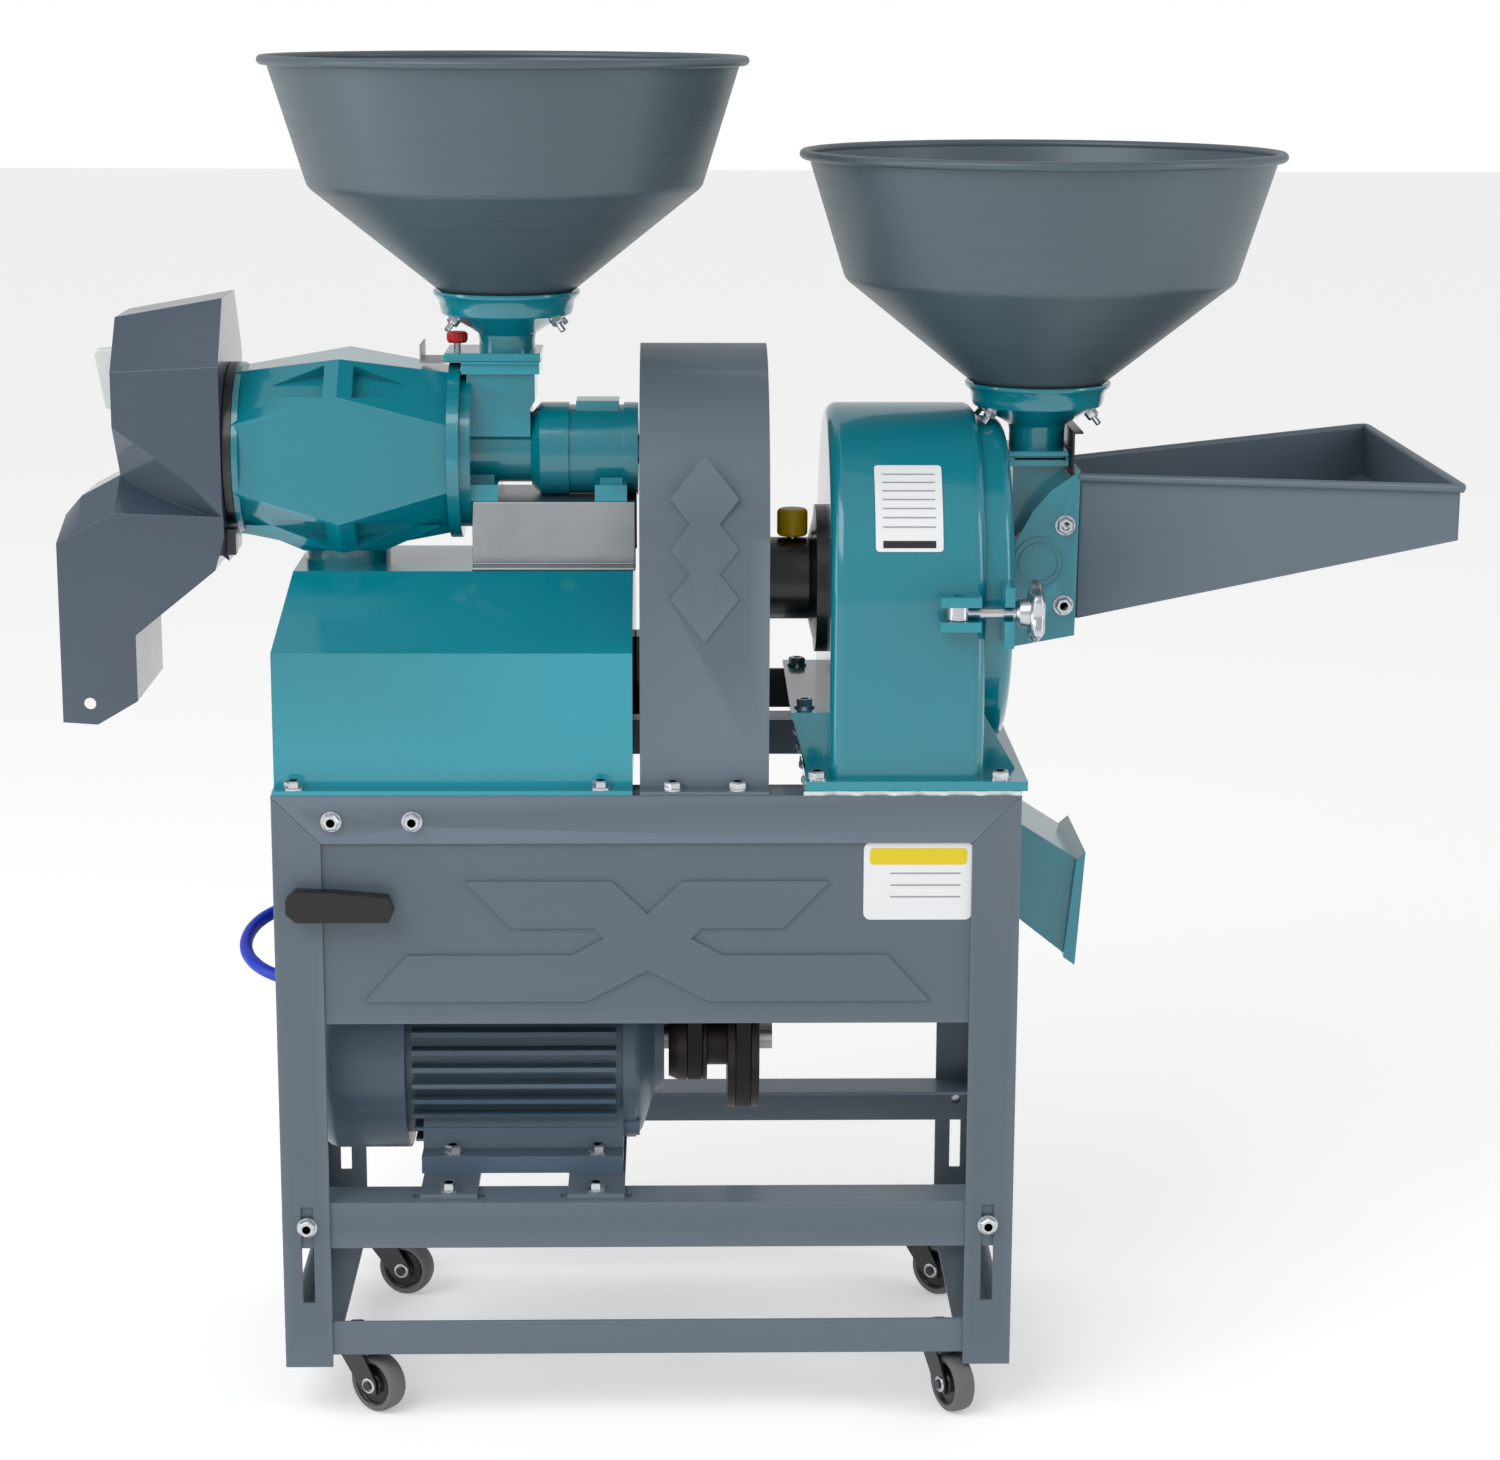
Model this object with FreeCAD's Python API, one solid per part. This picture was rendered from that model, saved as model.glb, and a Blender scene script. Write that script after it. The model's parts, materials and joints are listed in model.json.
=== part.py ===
# Combined rice huller and disc mill on a wheeled angle-iron stand.
# Millimetres, +Z up. The origin is on the floor at the middle of the overall length.
# Positions below are measured from the middle of the stand; save() moves them to the origin.
import FreeCAD, Part
import math
import os

V = FreeCAD.Vector
X = V(1, 0, 0)
Y = V(0, 1, 0)
Z = V(0, 0, 1)

# ---------------------------------------------------------------- stand
stand_width = 614.0          # outside, along X
stand_depth = 330.0          # outside, along Y
stand_height = 545.0         # top face of the deck ring
leg_clearance = 47.0         # floor to the ends of the legs
angle_width = 40.0           # leg of the angle iron
angle_wall = 3.0
bottom_rail_height = 30.0    # visible height of the lower rails
bottom_rail_bottom = 57.0
bottom_side_flange = 40.0
motor_rail_top = 193.0
slot_width = 10.0
leg_slot_bottom = 105.0
leg_slot_top = 190.0
leg_slot_inset = 21.0        # slot centre from the outside of the leg
panel_bottom = 350.0
panel_wall = 1.5
latch_x = -225.0
latch_z = 452.0
emboss_rise = 2.5
# ---------------------------------------------------------------- machine axes
huller_axis_z = 808.0
mill_axis_z = 697.0
motor_axis_z = 288.0
# ---------------------------------------------------------------- hoppers
hopper_rim_radius = 197.0
hopper_shoulder_radius = 164.0
hopper_throat_radius = 53.0
hopper_band_height = 107.0   # rim to shoulder
hopper_cone_height = 89.0    # shoulder to throat
hopper_wall = 1.5
hopper_bead = 4.0            # radius of the rolled rim
collar_radius = 62.0         # flared ring that carries the hopper
collar_cup_radius = 56.0
neck_radius = 23.5
neck_wall = 3.0
huller_feed_x = -118.0
huller_hopper_throat_z = 939.0
gate_slot = 2.6              # height between the feed box and the neck
gate_wall = 1.6
mill_feed_x = 330.0
mill_hopper_throat_z = 863.0
mill_neck_bottom = 806.0
# ---------------------------------------------------------------- huller
box_left = -306.0
box_right = -12.0
box_half_depth = 147.0
box_flange = 17.0
box_shoulder_z = 660.0
box_top_z = 714.0
box_top_half_depth = 66.0
box_wall = 3.0
box_end_slant = 11.0
bracket_left = -146.5
bracket_right = -10.0
bracket_top = 770.0
bracket_half_depth = 50.0
bracket_lip = 15.0
bracket_wall = 3.0
barrel_left = -343.0
barrel_right = -156.0
barrel_end_radius = 73.0
barrel_bore = 63.0
barrel_flange = 10.0
barrel_band = 24.0           # width of the raised middle band
barrel_mid_half_width = 80.0
barrel_mid_half_height = 81.0
outlet_neck_x = -255.0
outlet_neck_radius = 36.0
outlet_neck_height = 12.0
screen_radius = 46.0
screen_wall = 1.2
collar_ring_width = 8.0
feed_body_radius = 28.0
feed_body_right = -98.0
auger_bore = 24.0
bearing_body_radius = 39.5
bearing_body_right = -8.0
feed_box_top = 882.6
feed_box_half_depth = 34.0
foot_width = 27.0
foot_half_depth = 49.0
foot_thickness = 14.0
# ---------------------------------------------------------------- discharge hood
hood_left = -490.0
hood_wall = 2.0
hood_drum_left = -440.0
hood_drum_half_depth = 78.0
hood_chute_half_depth = 70.0
hood_hole_radius = 5.0
knob_height = 868.0          # height of the pressure screw
# ---------------------------------------------------------------- belt guard
guard_left = -6.0
guard_right = 100.0
guard_radius = 147.0
guard_center_z = 750.0
guard_wall = 2.0
guard_flange = 17.0
stay_y = 100.0
stay_bottom = 562.0
stay_height = 35.0
stay_wall = 6.0
# ---------------------------------------------------------------- mill
casing_left = 150.0
casing_right = 277.0
casing_radius = 150.0
casing_wall = 6.0
casing_round = 11.0
pedestal_left = 130.0
pedestal_right = 312.0
pedestal_wall = 8.0
gasket_wall = 3.0
door_radius = 139.0
door_thickness = 24.0
door_round = 12.0
inlet_radius = 28.0
sieve_radius = 116.0
sieve_wall = 1.2
mill_bearing_left = 102.0
mill_bearing_radius = 35.0
mill_bearing_flange = 63.0
grease_cup_x = 123.0
feed_box_left = 301.0
feed_box_right = 362.0
feed_side_half = 53.0
feed_wall = 3.0
tray_gate_x = 355.2
tray_left = 346.0
tray_right = 648.0
tray_inner_half = 49.7
tray_outer_half = 188.0
tray_wall = 1.5
tray_bead = 3.5              # half the width of the rolled rim
tray_rim_inner_z = 795.0
tray_rim_outer_z = 806.0
tray_floor_inner_z = 671.0
tray_floor_outer_z = 760.0
chute_half_depth = 60.0
chute_wall = 2.0
# ---------------------------------------------------------------- motor
motor_left = -285.0
motor_body_left = -208.0
motor_body_right = -22.0
motor_shield_right = 13.0
motor_radius = 97.0
motor_core_radius = 84.0
motor_shield_radius = 89.0
motor_foot_half = 104.0
motor_foot_left = -194.0
motor_foot_right = -20.0
crossbar_wall = 5.0
stator_bore = 51.0
rotor_radius = 50.0
# ---------------------------------------------------------------- shafts, pulleys, belts
motor_shaft_radius = 12.0
huller_shaft_radius = 12.5
mill_shaft_radius = 10.0
belt_top_width = 12.5
belt_depth = 8.0
belt_half_angle = 19.0
belt_gap = 0.4               # belt to groove, each face
huller_belt_x = 40.0
mill_belt_x = 82.0
motor_small_radius = 39.5
motor_large_radius = 63.0
huller_pulley_radius = 70.0
mill_pulley_radius = 30.0
pulley_rim = 6.0             # rim beside a groove
running_fit = 0.05
# ---------------------------------------------------------------- casters
wheel_radius = 25.0
wheel_width = 18.0
wheel_gap = 1.0
caster_trail = 24.0
caster_x = 250.0
caster_y = 128.0
axle_radius = 4.0
fork_wall = 2.5
caster_plate_wall = 4.0
caster_race = 5.0
# ---------------------------------------------------------------- lead
lead_diameter = 11.0

# ---------------------------------------------------------------- derived places
left = -stand_width / 2
right = stand_width / 2
front = -stand_depth / 2
back = stand_depth / 2
deck = stand_height
origin_x = (hood_left + tray_right + 2 * tray_bead) / 2

nodes = {}
fasteners = []


def block(x0, x1, y0, y1, z0, z1):
    """Box between two corners."""
    return Part.makeBox(x1 - x0, y1 - y0, z1 - z0, V(x0, y0, z0))


def rod(x, y, z, axis, radius, length):
    """Cylinder from a point along an axis."""
    return Part.makeCylinder(radius, length, V(x, y, z), axis)


def ring(x, y, z, axis, outer, inner, length):
    """Round ring from a point along an axis."""
    return rod(x, y, z, axis, outer, length).cut(rod(x, y, z, axis, inner, length))


def bar(start, end, radius):
    """Round bar between two points."""
    return Part.makeCylinder(radius, (end - start).Length, start, end - start)


def polygon_face(points):
    return Part.Face(Part.makePolygon(points + [points[0]]))


def prism_xz(points, y0, y1):
    """Outline in X and Z, as thick as y0 to y1."""
    face = polygon_face([V(x, y0, z) for x, z in points])
    return face.extrude(V(0, y1 - y0, 0))


def prism_yz(points, x0, x1):
    """Outline in Y and Z, as long as x0 to x1."""
    face = polygon_face([V(x0, y, z) for y, z in points])
    return face.extrude(V(x1 - x0, 0, 0))


def prism_xy(points, z0, z1):
    """Outline in X and Y, as high as z0 to z1."""
    face = polygon_face([V(x, y, z0) for x, y in points])
    return face.extrude(V(0, 0, z1 - z0))


def loft(sections):
    """Straight-sided solid between outlines with the same number of corners."""
    wires = [Part.makePolygon([V(*p) for p in s] + [V(*s[0])]) for s in sections]
    return Part.makeLoft(wires, True, True)


def frustum(near, far):
    """Flat-sided solid between two outlines whose sides are all flat."""
    near = [V(*p) for p in near]
    far = [V(*p) for p in far]
    faces = [polygon_face(near), polygon_face(far)]
    for i in range(len(near)):
        j = (i + 1) % len(near)
        faces.append(polygon_face([near[i], near[j], far[j], far[i]]))
    return Part.Solid(Part.Shell(faces))


def turned_z(points, x, y=0.0):
    """Outline of radius and height turned about an upright axis."""
    face = polygon_face([V(x + r, y, z) for r, z in points])
    return face.revolve(V(x, y, 0), Z, 360)


def turned_x(points, z, y=0.0):
    """Outline of X and radius turned about a level axis along X."""
    face = polygon_face([V(x, y, z + r) for x, r in points])
    return face.revolve(V(0, y, z), X, 360)


def hexagon(x, y, z, axis, across, height):
    """Hexagonal head or nut from a point along an axis."""
    corner = across / math.sqrt(3)
    points = [V(corner * math.cos(math.radians(a)), corner * math.sin(math.radians(a)), 0)
              for a in range(0, 360, 60)]
    body = polygon_face(points).extrude(V(0, 0, height))
    body.Placement = FreeCAD.Placement(V(x, y, z), FreeCAD.Rotation(Z, axis))
    return body


def fuse(shapes):
    first = shapes[0]
    return first.fuse(shapes[1:]).removeSplitter() if len(shapes) > 1 else first


def bolt(group, x, y, z, out, size, grip, nut=True):
    """Hex bolt whose head seats at a point and faces out; its grip ends in a nut."""
    fasteners.append((group, V(x, y, z), out, size, grip, nut))


def bolt_solid(seat, out, size, grip, nut):
    head = hexagon(seat.x, seat.y, seat.z, out, 1.6 * size, 0.7 * size)
    tail = 0.8 * size if nut else 0.0
    shank = rod(seat.x, seat.y, seat.z, out * -1, size / 2, grip + tail)
    pieces = [head, shank]
    if nut:
        end = seat - out * grip
        pieces.append(hexagon(end.x, end.y, end.z, out * -1, 1.6 * size, tail))
    return fuse(pieces)


def add(name, *shapes):
    """Keeps every solid of the shapes under a node's name."""
    for shape in shapes:
        nodes.setdefault(name, []).extend(shape.Solids)


# ---------------------------------------------------------------- stand
def make_top_rails():
    """Deck ring of mitred angle iron, welded into one piece."""
    low = deck - angle_width
    inner = angle_width
    pieces = []
    for side in (-1, 1):
        face = [(left, deck), (right, deck), (right - inner, low), (left + inner, low)]
        y0 = side * stand_depth / 2
        pieces.append(prism_xz(face, min(y0, y0 - side * angle_wall), max(y0, y0 - side * angle_wall)))
        flange = [(left, y0), (right, y0), (right - inner, y0 - side * inner), (left + inner, y0 - side * inner)]
        pieces.append(prism_xy(flange, deck - angle_wall, deck))
        face = [(front, deck), (back, deck), (back - inner, low), (front + inner, low)]
        x0 = side * stand_width / 2
        pieces.append(prism_yz(face, min(x0, x0 - side * angle_wall), max(x0, x0 - side * angle_wall)))
        flange = [(x0, front), (x0, back), (x0 - side * inner, back - inner), (x0 - side * inner, front + inner)]
        pieces.append(prism_xy(flange, deck - angle_wall, deck))
    return fuse(pieces)


def make_legs(top_rails):
    """Four legs of angle iron, mitred into the deck ring, each with two long slots."""
    legs = []
    slot_x = stand_width / 2 - leg_slot_inset
    for sx in (-1, 1):
        for sy in (-1, 1):
            x0 = sx * stand_width / 2
            y0 = sy * stand_depth / 2
            face = [(x0, deck), (x0 - sx * angle_width, deck - angle_width),
                    (x0 - sx * angle_width, leg_clearance), (x0, leg_clearance)]
            plate = prism_xz(face, min(y0, y0 - sy * angle_wall), max(y0, y0 - sy * angle_wall))
            cheek = [(y0, deck), (y0 - sy * angle_width, deck - angle_width),
                     (y0 - sy * angle_width, leg_clearance), (y0, leg_clearance)]
            side = prism_yz(cheek, min(x0, x0 - sx * angle_wall), max(x0, x0 - sx * angle_wall))
            slot = block(sx * slot_x - slot_width / 2, sx * slot_x + slot_width / 2,
                         y0 - 4 * angle_wall, y0 + 4 * angle_wall, leg_slot_bottom, leg_slot_top)
            legs.append(fuse([plate, side]).cut(slot).cut(top_rails))
    return legs


def make_bottom_rails():
    """Lower ring: flat faces outside, wide flanges at the ends that carry the casters."""
    top = bottom_rail_bottom + bottom_rail_height
    rails = []
    x0 = left + angle_wall
    y0 = front + angle_wall
    for sy in (-1, 1):
        y_out = sy * -y0
        face = block(x0, -x0, min(y_out, y_out - sy * angle_wall), max(y_out, y_out - sy * angle_wall),
                     bottom_rail_bottom, top)
        rails.append(face)
    for sx in (-1, 1):
        x_out = sx * -x0
        x_in = x_out - sx * bottom_side_flange
        flange = block(min(x_out, x_in), max(x_out, x_in), y0 + angle_wall, -y0 - angle_wall,
                       bottom_rail_bottom, bottom_rail_bottom + angle_wall)
        x_wall = x_out - sx * angle_wall
        face = block(min(x_out, x_wall), max(x_out, x_wall), y0 + angle_wall, -y0 - angle_wall,
                     bottom_rail_bottom, top)
        rails.append(fuse([flange, face]))
    return rails


def make_motor_rails():
    """Two slotted angle rails that hang in the leg slots and carry the motor."""
    rails = []
    x0 = left + angle_wall
    for sy in (-1, 1):
        y_out = sy * (back - angle_wall)
        y_in = y_out - sy * angle_width
        y_wall = y_out - sy * angle_wall
        face = block(x0, -x0, min(y_out, y_wall), max(y_out, y_wall), motor_rail_top - angle_width, motor_rail_top)
        flange = block(x0, -x0, min(y_out, y_in), max(y_out, y_in), motor_rail_top - angle_wall, motor_rail_top)
        rail = fuse([face, flange])
        for x in (motor_foot_left + 26, motor_foot_right - 24):
            y_slot = sy * (back - 20)
            rail = rail.cut(block(x - 30, x + 30, y_slot - slot_width / 2, y_slot + slot_width / 2,
                                  motor_rail_top - 2 * angle_wall, motor_rail_top + 1))
            bolt("bolts", x, y_slot, motor_rail_top + crossbar_wall, Z, 8.0, crossbar_wall + angle_wall)
        rails.append(rail)
    return rails


def make_crossbars():
    """Two flat bars under the motor's feet."""
    bars = []
    for x in (motor_foot_left + 26, motor_foot_right - 24):
        bars.append(block(x - 24, x + 24, front + 9, back - 9, motor_rail_top, motor_rail_top + crossbar_wall))
    return bars


def make_front_panel():
    """Pressed panel between the front legs with a raised cross-shaped figure."""
    y_front = front + angle_wall
    half = stand_width / 2 - 6
    sheet = block(-half, half, y_front, y_front + panel_wall, panel_bottom, deck - angle_wall)
    mid = (panel_bottom + deck - angle_width) / 2
    half_figure = [(0, 17), (29, 45), (150, 45), (112, 5), (44, 5), (36, -4), (62, -18), (198, -18),
                   (234, -58), (51, -58), (0, -31)]
    figure = [(x, mid + z) for x, z in half_figure] + [(-x, mid + z) for x, z in half_figure[-2:0:-1]]
    pad = prism_xz(figure, y_front - emboss_rise, y_front)
    lip = block(-half + 40, half - 40, y_front, y_front + 12, panel_bottom, panel_bottom + panel_wall)
    panel = fuse([sheet, pad, lip])
    return panel.cut(rod(latch_x, y_front - 5, latch_z, Y, 7.3, 20))


def make_junction_box():
    """Small closed box behind the top rail that the lead runs into."""
    y0 = front + angle_wall + panel_wall
    for x in (-258, -192):
        bolt("bolts", x, front, 524, Y * -1, 8.0, 14, False)
    body = block(-268, -182, y0, y0 + 38, 474, deck - angle_width + 30)
    return body.cut(rod(latch_x, y0 + 19, 470, Z, lead_diameter / 2 + 0.5, 10.5))


# ---------------------------------------------------------------- hoppers
def make_hopper(x, throat_z):
    """Spun hopper with a rolled rim."""
    shoulder = throat_z + hopper_cone_height
    rim = shoulder + hopper_band_height
    t = hopper_wall
    slope = (hopper_rim_radius - hopper_shoulder_radius) / hopper_band_height
    bead_low = rim - 2 * hopper_bead
    bead_out = hopper_rim_radius - t + 2 * hopper_bead
    profile = [(hopper_throat_radius, throat_z), (hopper_shoulder_radius, shoulder),
               (hopper_rim_radius - slope * 2 * hopper_bead, bead_low), (bead_out - hopper_bead / 2, bead_low),
               (bead_out, bead_low + hopper_bead / 2), (bead_out, rim - hopper_bead / 2),
               (bead_out - hopper_bead / 2, rim), (hopper_rim_radius - t, rim),
               (hopper_shoulder_radius - t, shoulder + 0.5), (hopper_throat_radius - t, throat_z + 0.5)]
    return turned_z(profile, x)


def make_neck(x, throat_z, bottom, flange_left, flange_right, flange_thick):
    """Flared cup that carries the hopper, its tube and its square base."""
    t = neck_wall
    cup_top = throat_z + 1.0
    cup_bottom = throat_z - 31.0
    cone = hopper_cone_height / (hopper_shoulder_radius - hopper_throat_radius)
    drop = 3.0 * cone
    profile = [(collar_radius, cup_top + drop), (collar_radius, cup_top + drop - 3), (collar_cup_radius, cup_top - 8),
               (neck_radius, cup_bottom), (neck_radius, bottom), (neck_radius - t, bottom),
               (neck_radius - t, cup_bottom + 1), (hopper_throat_radius - 2 * t, cup_top - 8.2),
               (hopper_throat_radius - 2 * t, throat_z - 0.3), (hopper_throat_radius, throat_z - 0.3),
               (collar_radius - 0.8, cup_top + drop)]
    cup = turned_z(profile, x)
    base = block(flange_left, flange_right, -36, 36, bottom, bottom + flange_thick)
    return fuse([cup, base]).cut(rod(x, 0, bottom - 1, Z, neck_radius - t, flange_thick + 2))


# ---------------------------------------------------------------- huller
def box_outline(inset, extra):
    return [(-box_half_depth + inset, deck - extra), (-box_half_depth + inset, box_shoulder_z - 0.3 * inset),
            (-box_top_half_depth + 0.3 * inset, box_top_z - inset), (box_top_half_depth - 0.3 * inset, box_top_z - inset),
            (box_half_depth - inset, box_shoulder_z - 0.3 * inset), (box_half_depth - inset, deck - extra)]


def make_huller_box():
    """Sheet-metal bran box, open below, with a bolting flange in front and behind."""
    outer = prism_yz(box_outline(0, 0), box_left, box_right)
    inner = prism_yz(box_outline(box_wall, 1), box_left + box_wall, box_right - box_wall)
    slant = [(box_left - 1, box_shoulder_z), (box_left, box_shoulder_z),
             (box_left + box_end_slant, box_top_z), (box_left + box_end_slant, box_top_z + 1), (box_left - 1, box_top_z + 1)]
    outer = outer.cut(prism_xz(slant, -200, 200))
    inner = inner.cut(prism_xz([(x + box_wall, z - (box_wall if i == 1 else 0)) for i, (x, z) in enumerate(slant)], -200, 200))
    shell = outer.cut(inner)
    flange = block(box_left, box_right, -box_half_depth - box_flange, box_half_depth + box_flange, deck, deck + 4)
    flange = flange.cut(block(box_left + box_wall, box_right - box_wall, -box_half_depth + box_wall,
                              box_half_depth - box_wall, deck - 1, deck + 5))
    body = fuse([shell, flange])
    body = body.cut(rod(outlet_neck_x, 0, box_top_z - 10, Z, outlet_neck_radius - 4, 20))
    for x in (box_left + 17, box_right - 26):
        for side in (-1, 1):
            bolt("bolts", x, side * (box_half_depth + box_flange / 2), deck + 4, Z, 8.0, 4 + angle_wall, False)
    return body


def make_huller_bracket():
    """Hat-section seat between the box and the bearing housings."""
    t = bracket_wall
    w = bracket_half_depth
    top = bracket_top
    profile = [(-w - bracket_lip, box_top_z), (-w - bracket_lip, box_top_z + t), (-w, box_top_z + t), (-w, top),
               (w, top), (w, box_top_z + t), (w + bracket_lip, box_top_z + t), (w + bracket_lip, box_top_z),
               (w - t, box_top_z), (w - t, top - t), (-w + t, top - t), (-w + t, box_top_z)]
    return prism_yz(profile, bracket_left, bracket_right)


def foot(x0, x1, radius):
    """Cast foot under a round housing, with a lug each side."""
    plate = block(x0, x1, -foot_half_depth, foot_half_depth, bracket_top, bracket_top + foot_thickness)
    web = block(x0 + 4, x1 - 4, -radius + 8, radius - 8, bracket_top, huller_axis_z)
    return fuse([plate, web])


def make_feed_housing():
    """Cast feed housing: flange, round screw body, square feed box and foot."""
    z = huller_axis_z
    flange = rod(barrel_right, 0, z, X, 66, 9)
    body = rod(barrel_right, 0, z, X, feed_body_radius, feed_body_right - barrel_right)
    neck_left = huller_feed_x - 33
    neck_right = huller_feed_x + 24
    box_points = [(neck_left, feed_box_top), (neck_right, feed_box_top), (neck_right, z + 44),
                  (feed_body_right, z + 38), (feed_body_right, z + 14), (neck_left, z + 14)]
    feed = prism_xz(box_points, -feed_box_half_depth + 4, feed_box_half_depth - 4)
    top = block(neck_left - 4, neck_right + 4, -feed_box_half_depth, feed_box_half_depth, feed_box_top - 8, feed_box_top)
    lower = fuse([flange, body, feed, top, foot(barrel_right + 4, barrel_right + 4 + foot_width, feed_body_radius)])
    passage = rod(huller_feed_x, 0, z, Z, neck_radius - neck_wall, 100)
    return lower.cut(rod(barrel_right - 1, 0, z, X, auger_bore, 200)).cut(passage)


def make_bearing_housing():
    """Cast bearing housing with a raised middle pad and a foot."""
    z = huller_axis_z
    r = bearing_body_radius
    profile = [(feed_body_right, 0), (feed_body_right, r - 9), (feed_body_right + 8, r), (-66, r), (-66, r - 2),
               (-20, r - 2), (-20, r), (bearing_body_right, r), (bearing_body_right, 0)]
    body = turned_x(profile, z)
    pad = block(-60, -24, -16, 16, z + r - 8, z + r + 3)
    body = fuse([body, pad, foot(-44, -44 + foot_width, r)])
    bore = rod(feed_body_right - 1, 0, z, X, 22.0, 200)
    seat = rod(feed_body_right - 1, 0, z, X, 26.0, 17)
    seat2 = rod(bearing_body_right - 16, 0, z, X, 26.0, 17)
    under = block(feed_body_right, bearing_body_right, -r, r, bracket_top - 20, bracket_top)
    return body.cut(bore).cut(seat).cut(seat2).cut(under)


def make_barrel():
    """Cast barrel: round ends, eight swelling faces, sunk triangles beside a raised band."""
    z = huller_axis_z
    e = barrel_end_radius * 0.385
    h = barrel_end_radius * 0.925
    w = barrel_mid_half_width
    t = barrel_mid_half_height
    c = 28.0
    mid_x = (barrel_left + barrel_right - barrel_flange) / 2
    end = [(-h, e), (-e, h), (e, h), (h, e), (h, -e), (e, -h), (-e, -h), (-h, -e)]
    middle = [(-w, t - c), (-w + c, t), (w - c, t), (w, t - c), (w, c - t), (w - c, -t), (c - w, -t), (-w, c - t)]
    right_x = barrel_right - barrel_flange
    sections = [[(barrel_left, y, z + v) for y, v in end], [(mid_x, y, z + v) for y, v in middle],
                [(right_x, y, z + v) for y, v in end]]
    body = loft(sections[:2]).fuse(loft(sections[1:]))
    half = barrel_band / 2
    for sign in (-1, 1):
        x_end = barrel_left + 10 if sign < 0 else right_x - 10
        for angle in (45, 135, 225, 315):
            tip = [V(mid_x + sign * half, -17, 77), V(mid_x + sign * half, 17, 77), V(x_end, 0, 77)]
            pocket = polygon_face(tip).extrude(V(0, 0, 40))
            pocket.translate(V(0, 0, z))
            pocket.rotate(V(0, 0, z), X, angle)
            body = body.cut(pocket)
    body = body.fuse(rod(barrel_left, 0, z, X, barrel_end_radius, 5))
    body = body.fuse(rod(right_x, 0, z, X, barrel_end_radius + 2, barrel_flange))
    low = z - 58
    pan = [(barrel_left + 6, -50, low), (right_x - 6, -50, low), (right_x - 6, 50, low), (barrel_left + 6, 50, low)]
    r = outlet_neck_radius * 0.94
    neck_z = box_top_z + outlet_neck_height
    small = [(outlet_neck_x - r, -r, neck_z), (outlet_neck_x + r, -r, neck_z),
             (outlet_neck_x + r, r, neck_z), (outlet_neck_x - r, r, neck_z)]
    body = body.fuse(loft([pan, small]))
    body = body.fuse(rod(outlet_neck_x, 0, box_top_z, Z, outlet_neck_radius, outlet_neck_height + 6))
    body = body.cut(block(-400, -100, -200, 200, box_top_z - 100, box_top_z))
    bore = rod(barrel_left - 1, 0, z, X, barrel_bore, right_x - 4 - barrel_left + 1)
    body = body.cut(bore).cut(rod(barrel_left, 0, z, X, screen_radius - 2, 300))
    body = body.cut(rod(outlet_neck_x, 0, box_top_z - 1, Z, outlet_neck_radius - 4, 80))
    return body.removeSplitter()


def make_screen():
    """Rice screen round the hulling roller."""
    x0 = barrel_left + 0.3
    return ring(x0, 0, huller_axis_z, X, screen_radius + screen_wall, screen_radius,
                barrel_right - barrel_flange - 4.3 - x0)


def make_collar():
    """Ring that joins the barrel to the hood, with its clamping block."""
    x0 = barrel_left - collar_ring_width
    body = ring(x0, 0, huller_axis_z, X, barrel_end_radius, screen_radius - 2, collar_ring_width)
    ear = block(x0, barrel_left, -58, -44, huller_axis_z - 82, huller_axis_z - 60)
    ear = ear.cut(rod(x0 - 1, 0, huller_axis_z, X, barrel_end_radius - 3, 40))
    return fuse([body, ear])


def hood_drum(inset, x_right):
    """Eight-sided drum of the hood, smaller at its far end."""
    near = [(-78, 770), (-78, 885), (-40, 938), (40, 938), (78, 885), (78, 770), (40, 718), (-40, 718)]
    far = [(-74, 835), (-74, 880), (-38, 922), (38, 922), (74, 880), (74, 835), (38, 790), (-38, 790)]

    def shrink(points):
        zc = (points[1][1] + points[0][1]) / 2
        return [(y - math.copysign(inset, y), z - math.copysign(inset, z - zc)) for y, z in points]

    near = shrink(near)
    far = shrink(far)
    x_far = hood_drum_left + inset
    return loft([[(x_far, y, z) for y, z in far], [(x_right, y, z) for y, z in near]])


def hood_chute(inset, drop):
    """Chute under the drum that turns the rice down."""
    x_right = barrel_left - collar_ring_width
    half = hood_chute_half_depth - inset
    ridge = half - 34
    wall_top = [(hood_left + inset, 738), (hood_left + 16, 746), (-441, 763)]
    roof_top = [(hood_left + 3 + inset, 757 - inset), (hood_left + 17, 773 - inset), (-441, 790 - inset)]
    low = [(x_right - inset, 760), (x_right - inset, 742), (x_right - 8 - inset * 0.4, 715 + inset),
           (-427 - inset, 660 + inset * 0.4), (-427 - inset, 604 - drop), (-461, 584 - drop), (hood_left + inset, 586 - drop)]
    outer = low + wall_top
    inner = low + roof_top
    wall = [(x, -half, z) for x, z in outer]
    roof = [(x, -ridge, z) for x, z in inner]
    roof_back = [(x, ridge, z) for x, z in inner]
    wall_back = [(x, half, z) for x, z in outer]
    return fuse([loft([wall, roof]), loft([roof, roof_back]), loft([roof_back, wall_back])])


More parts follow.
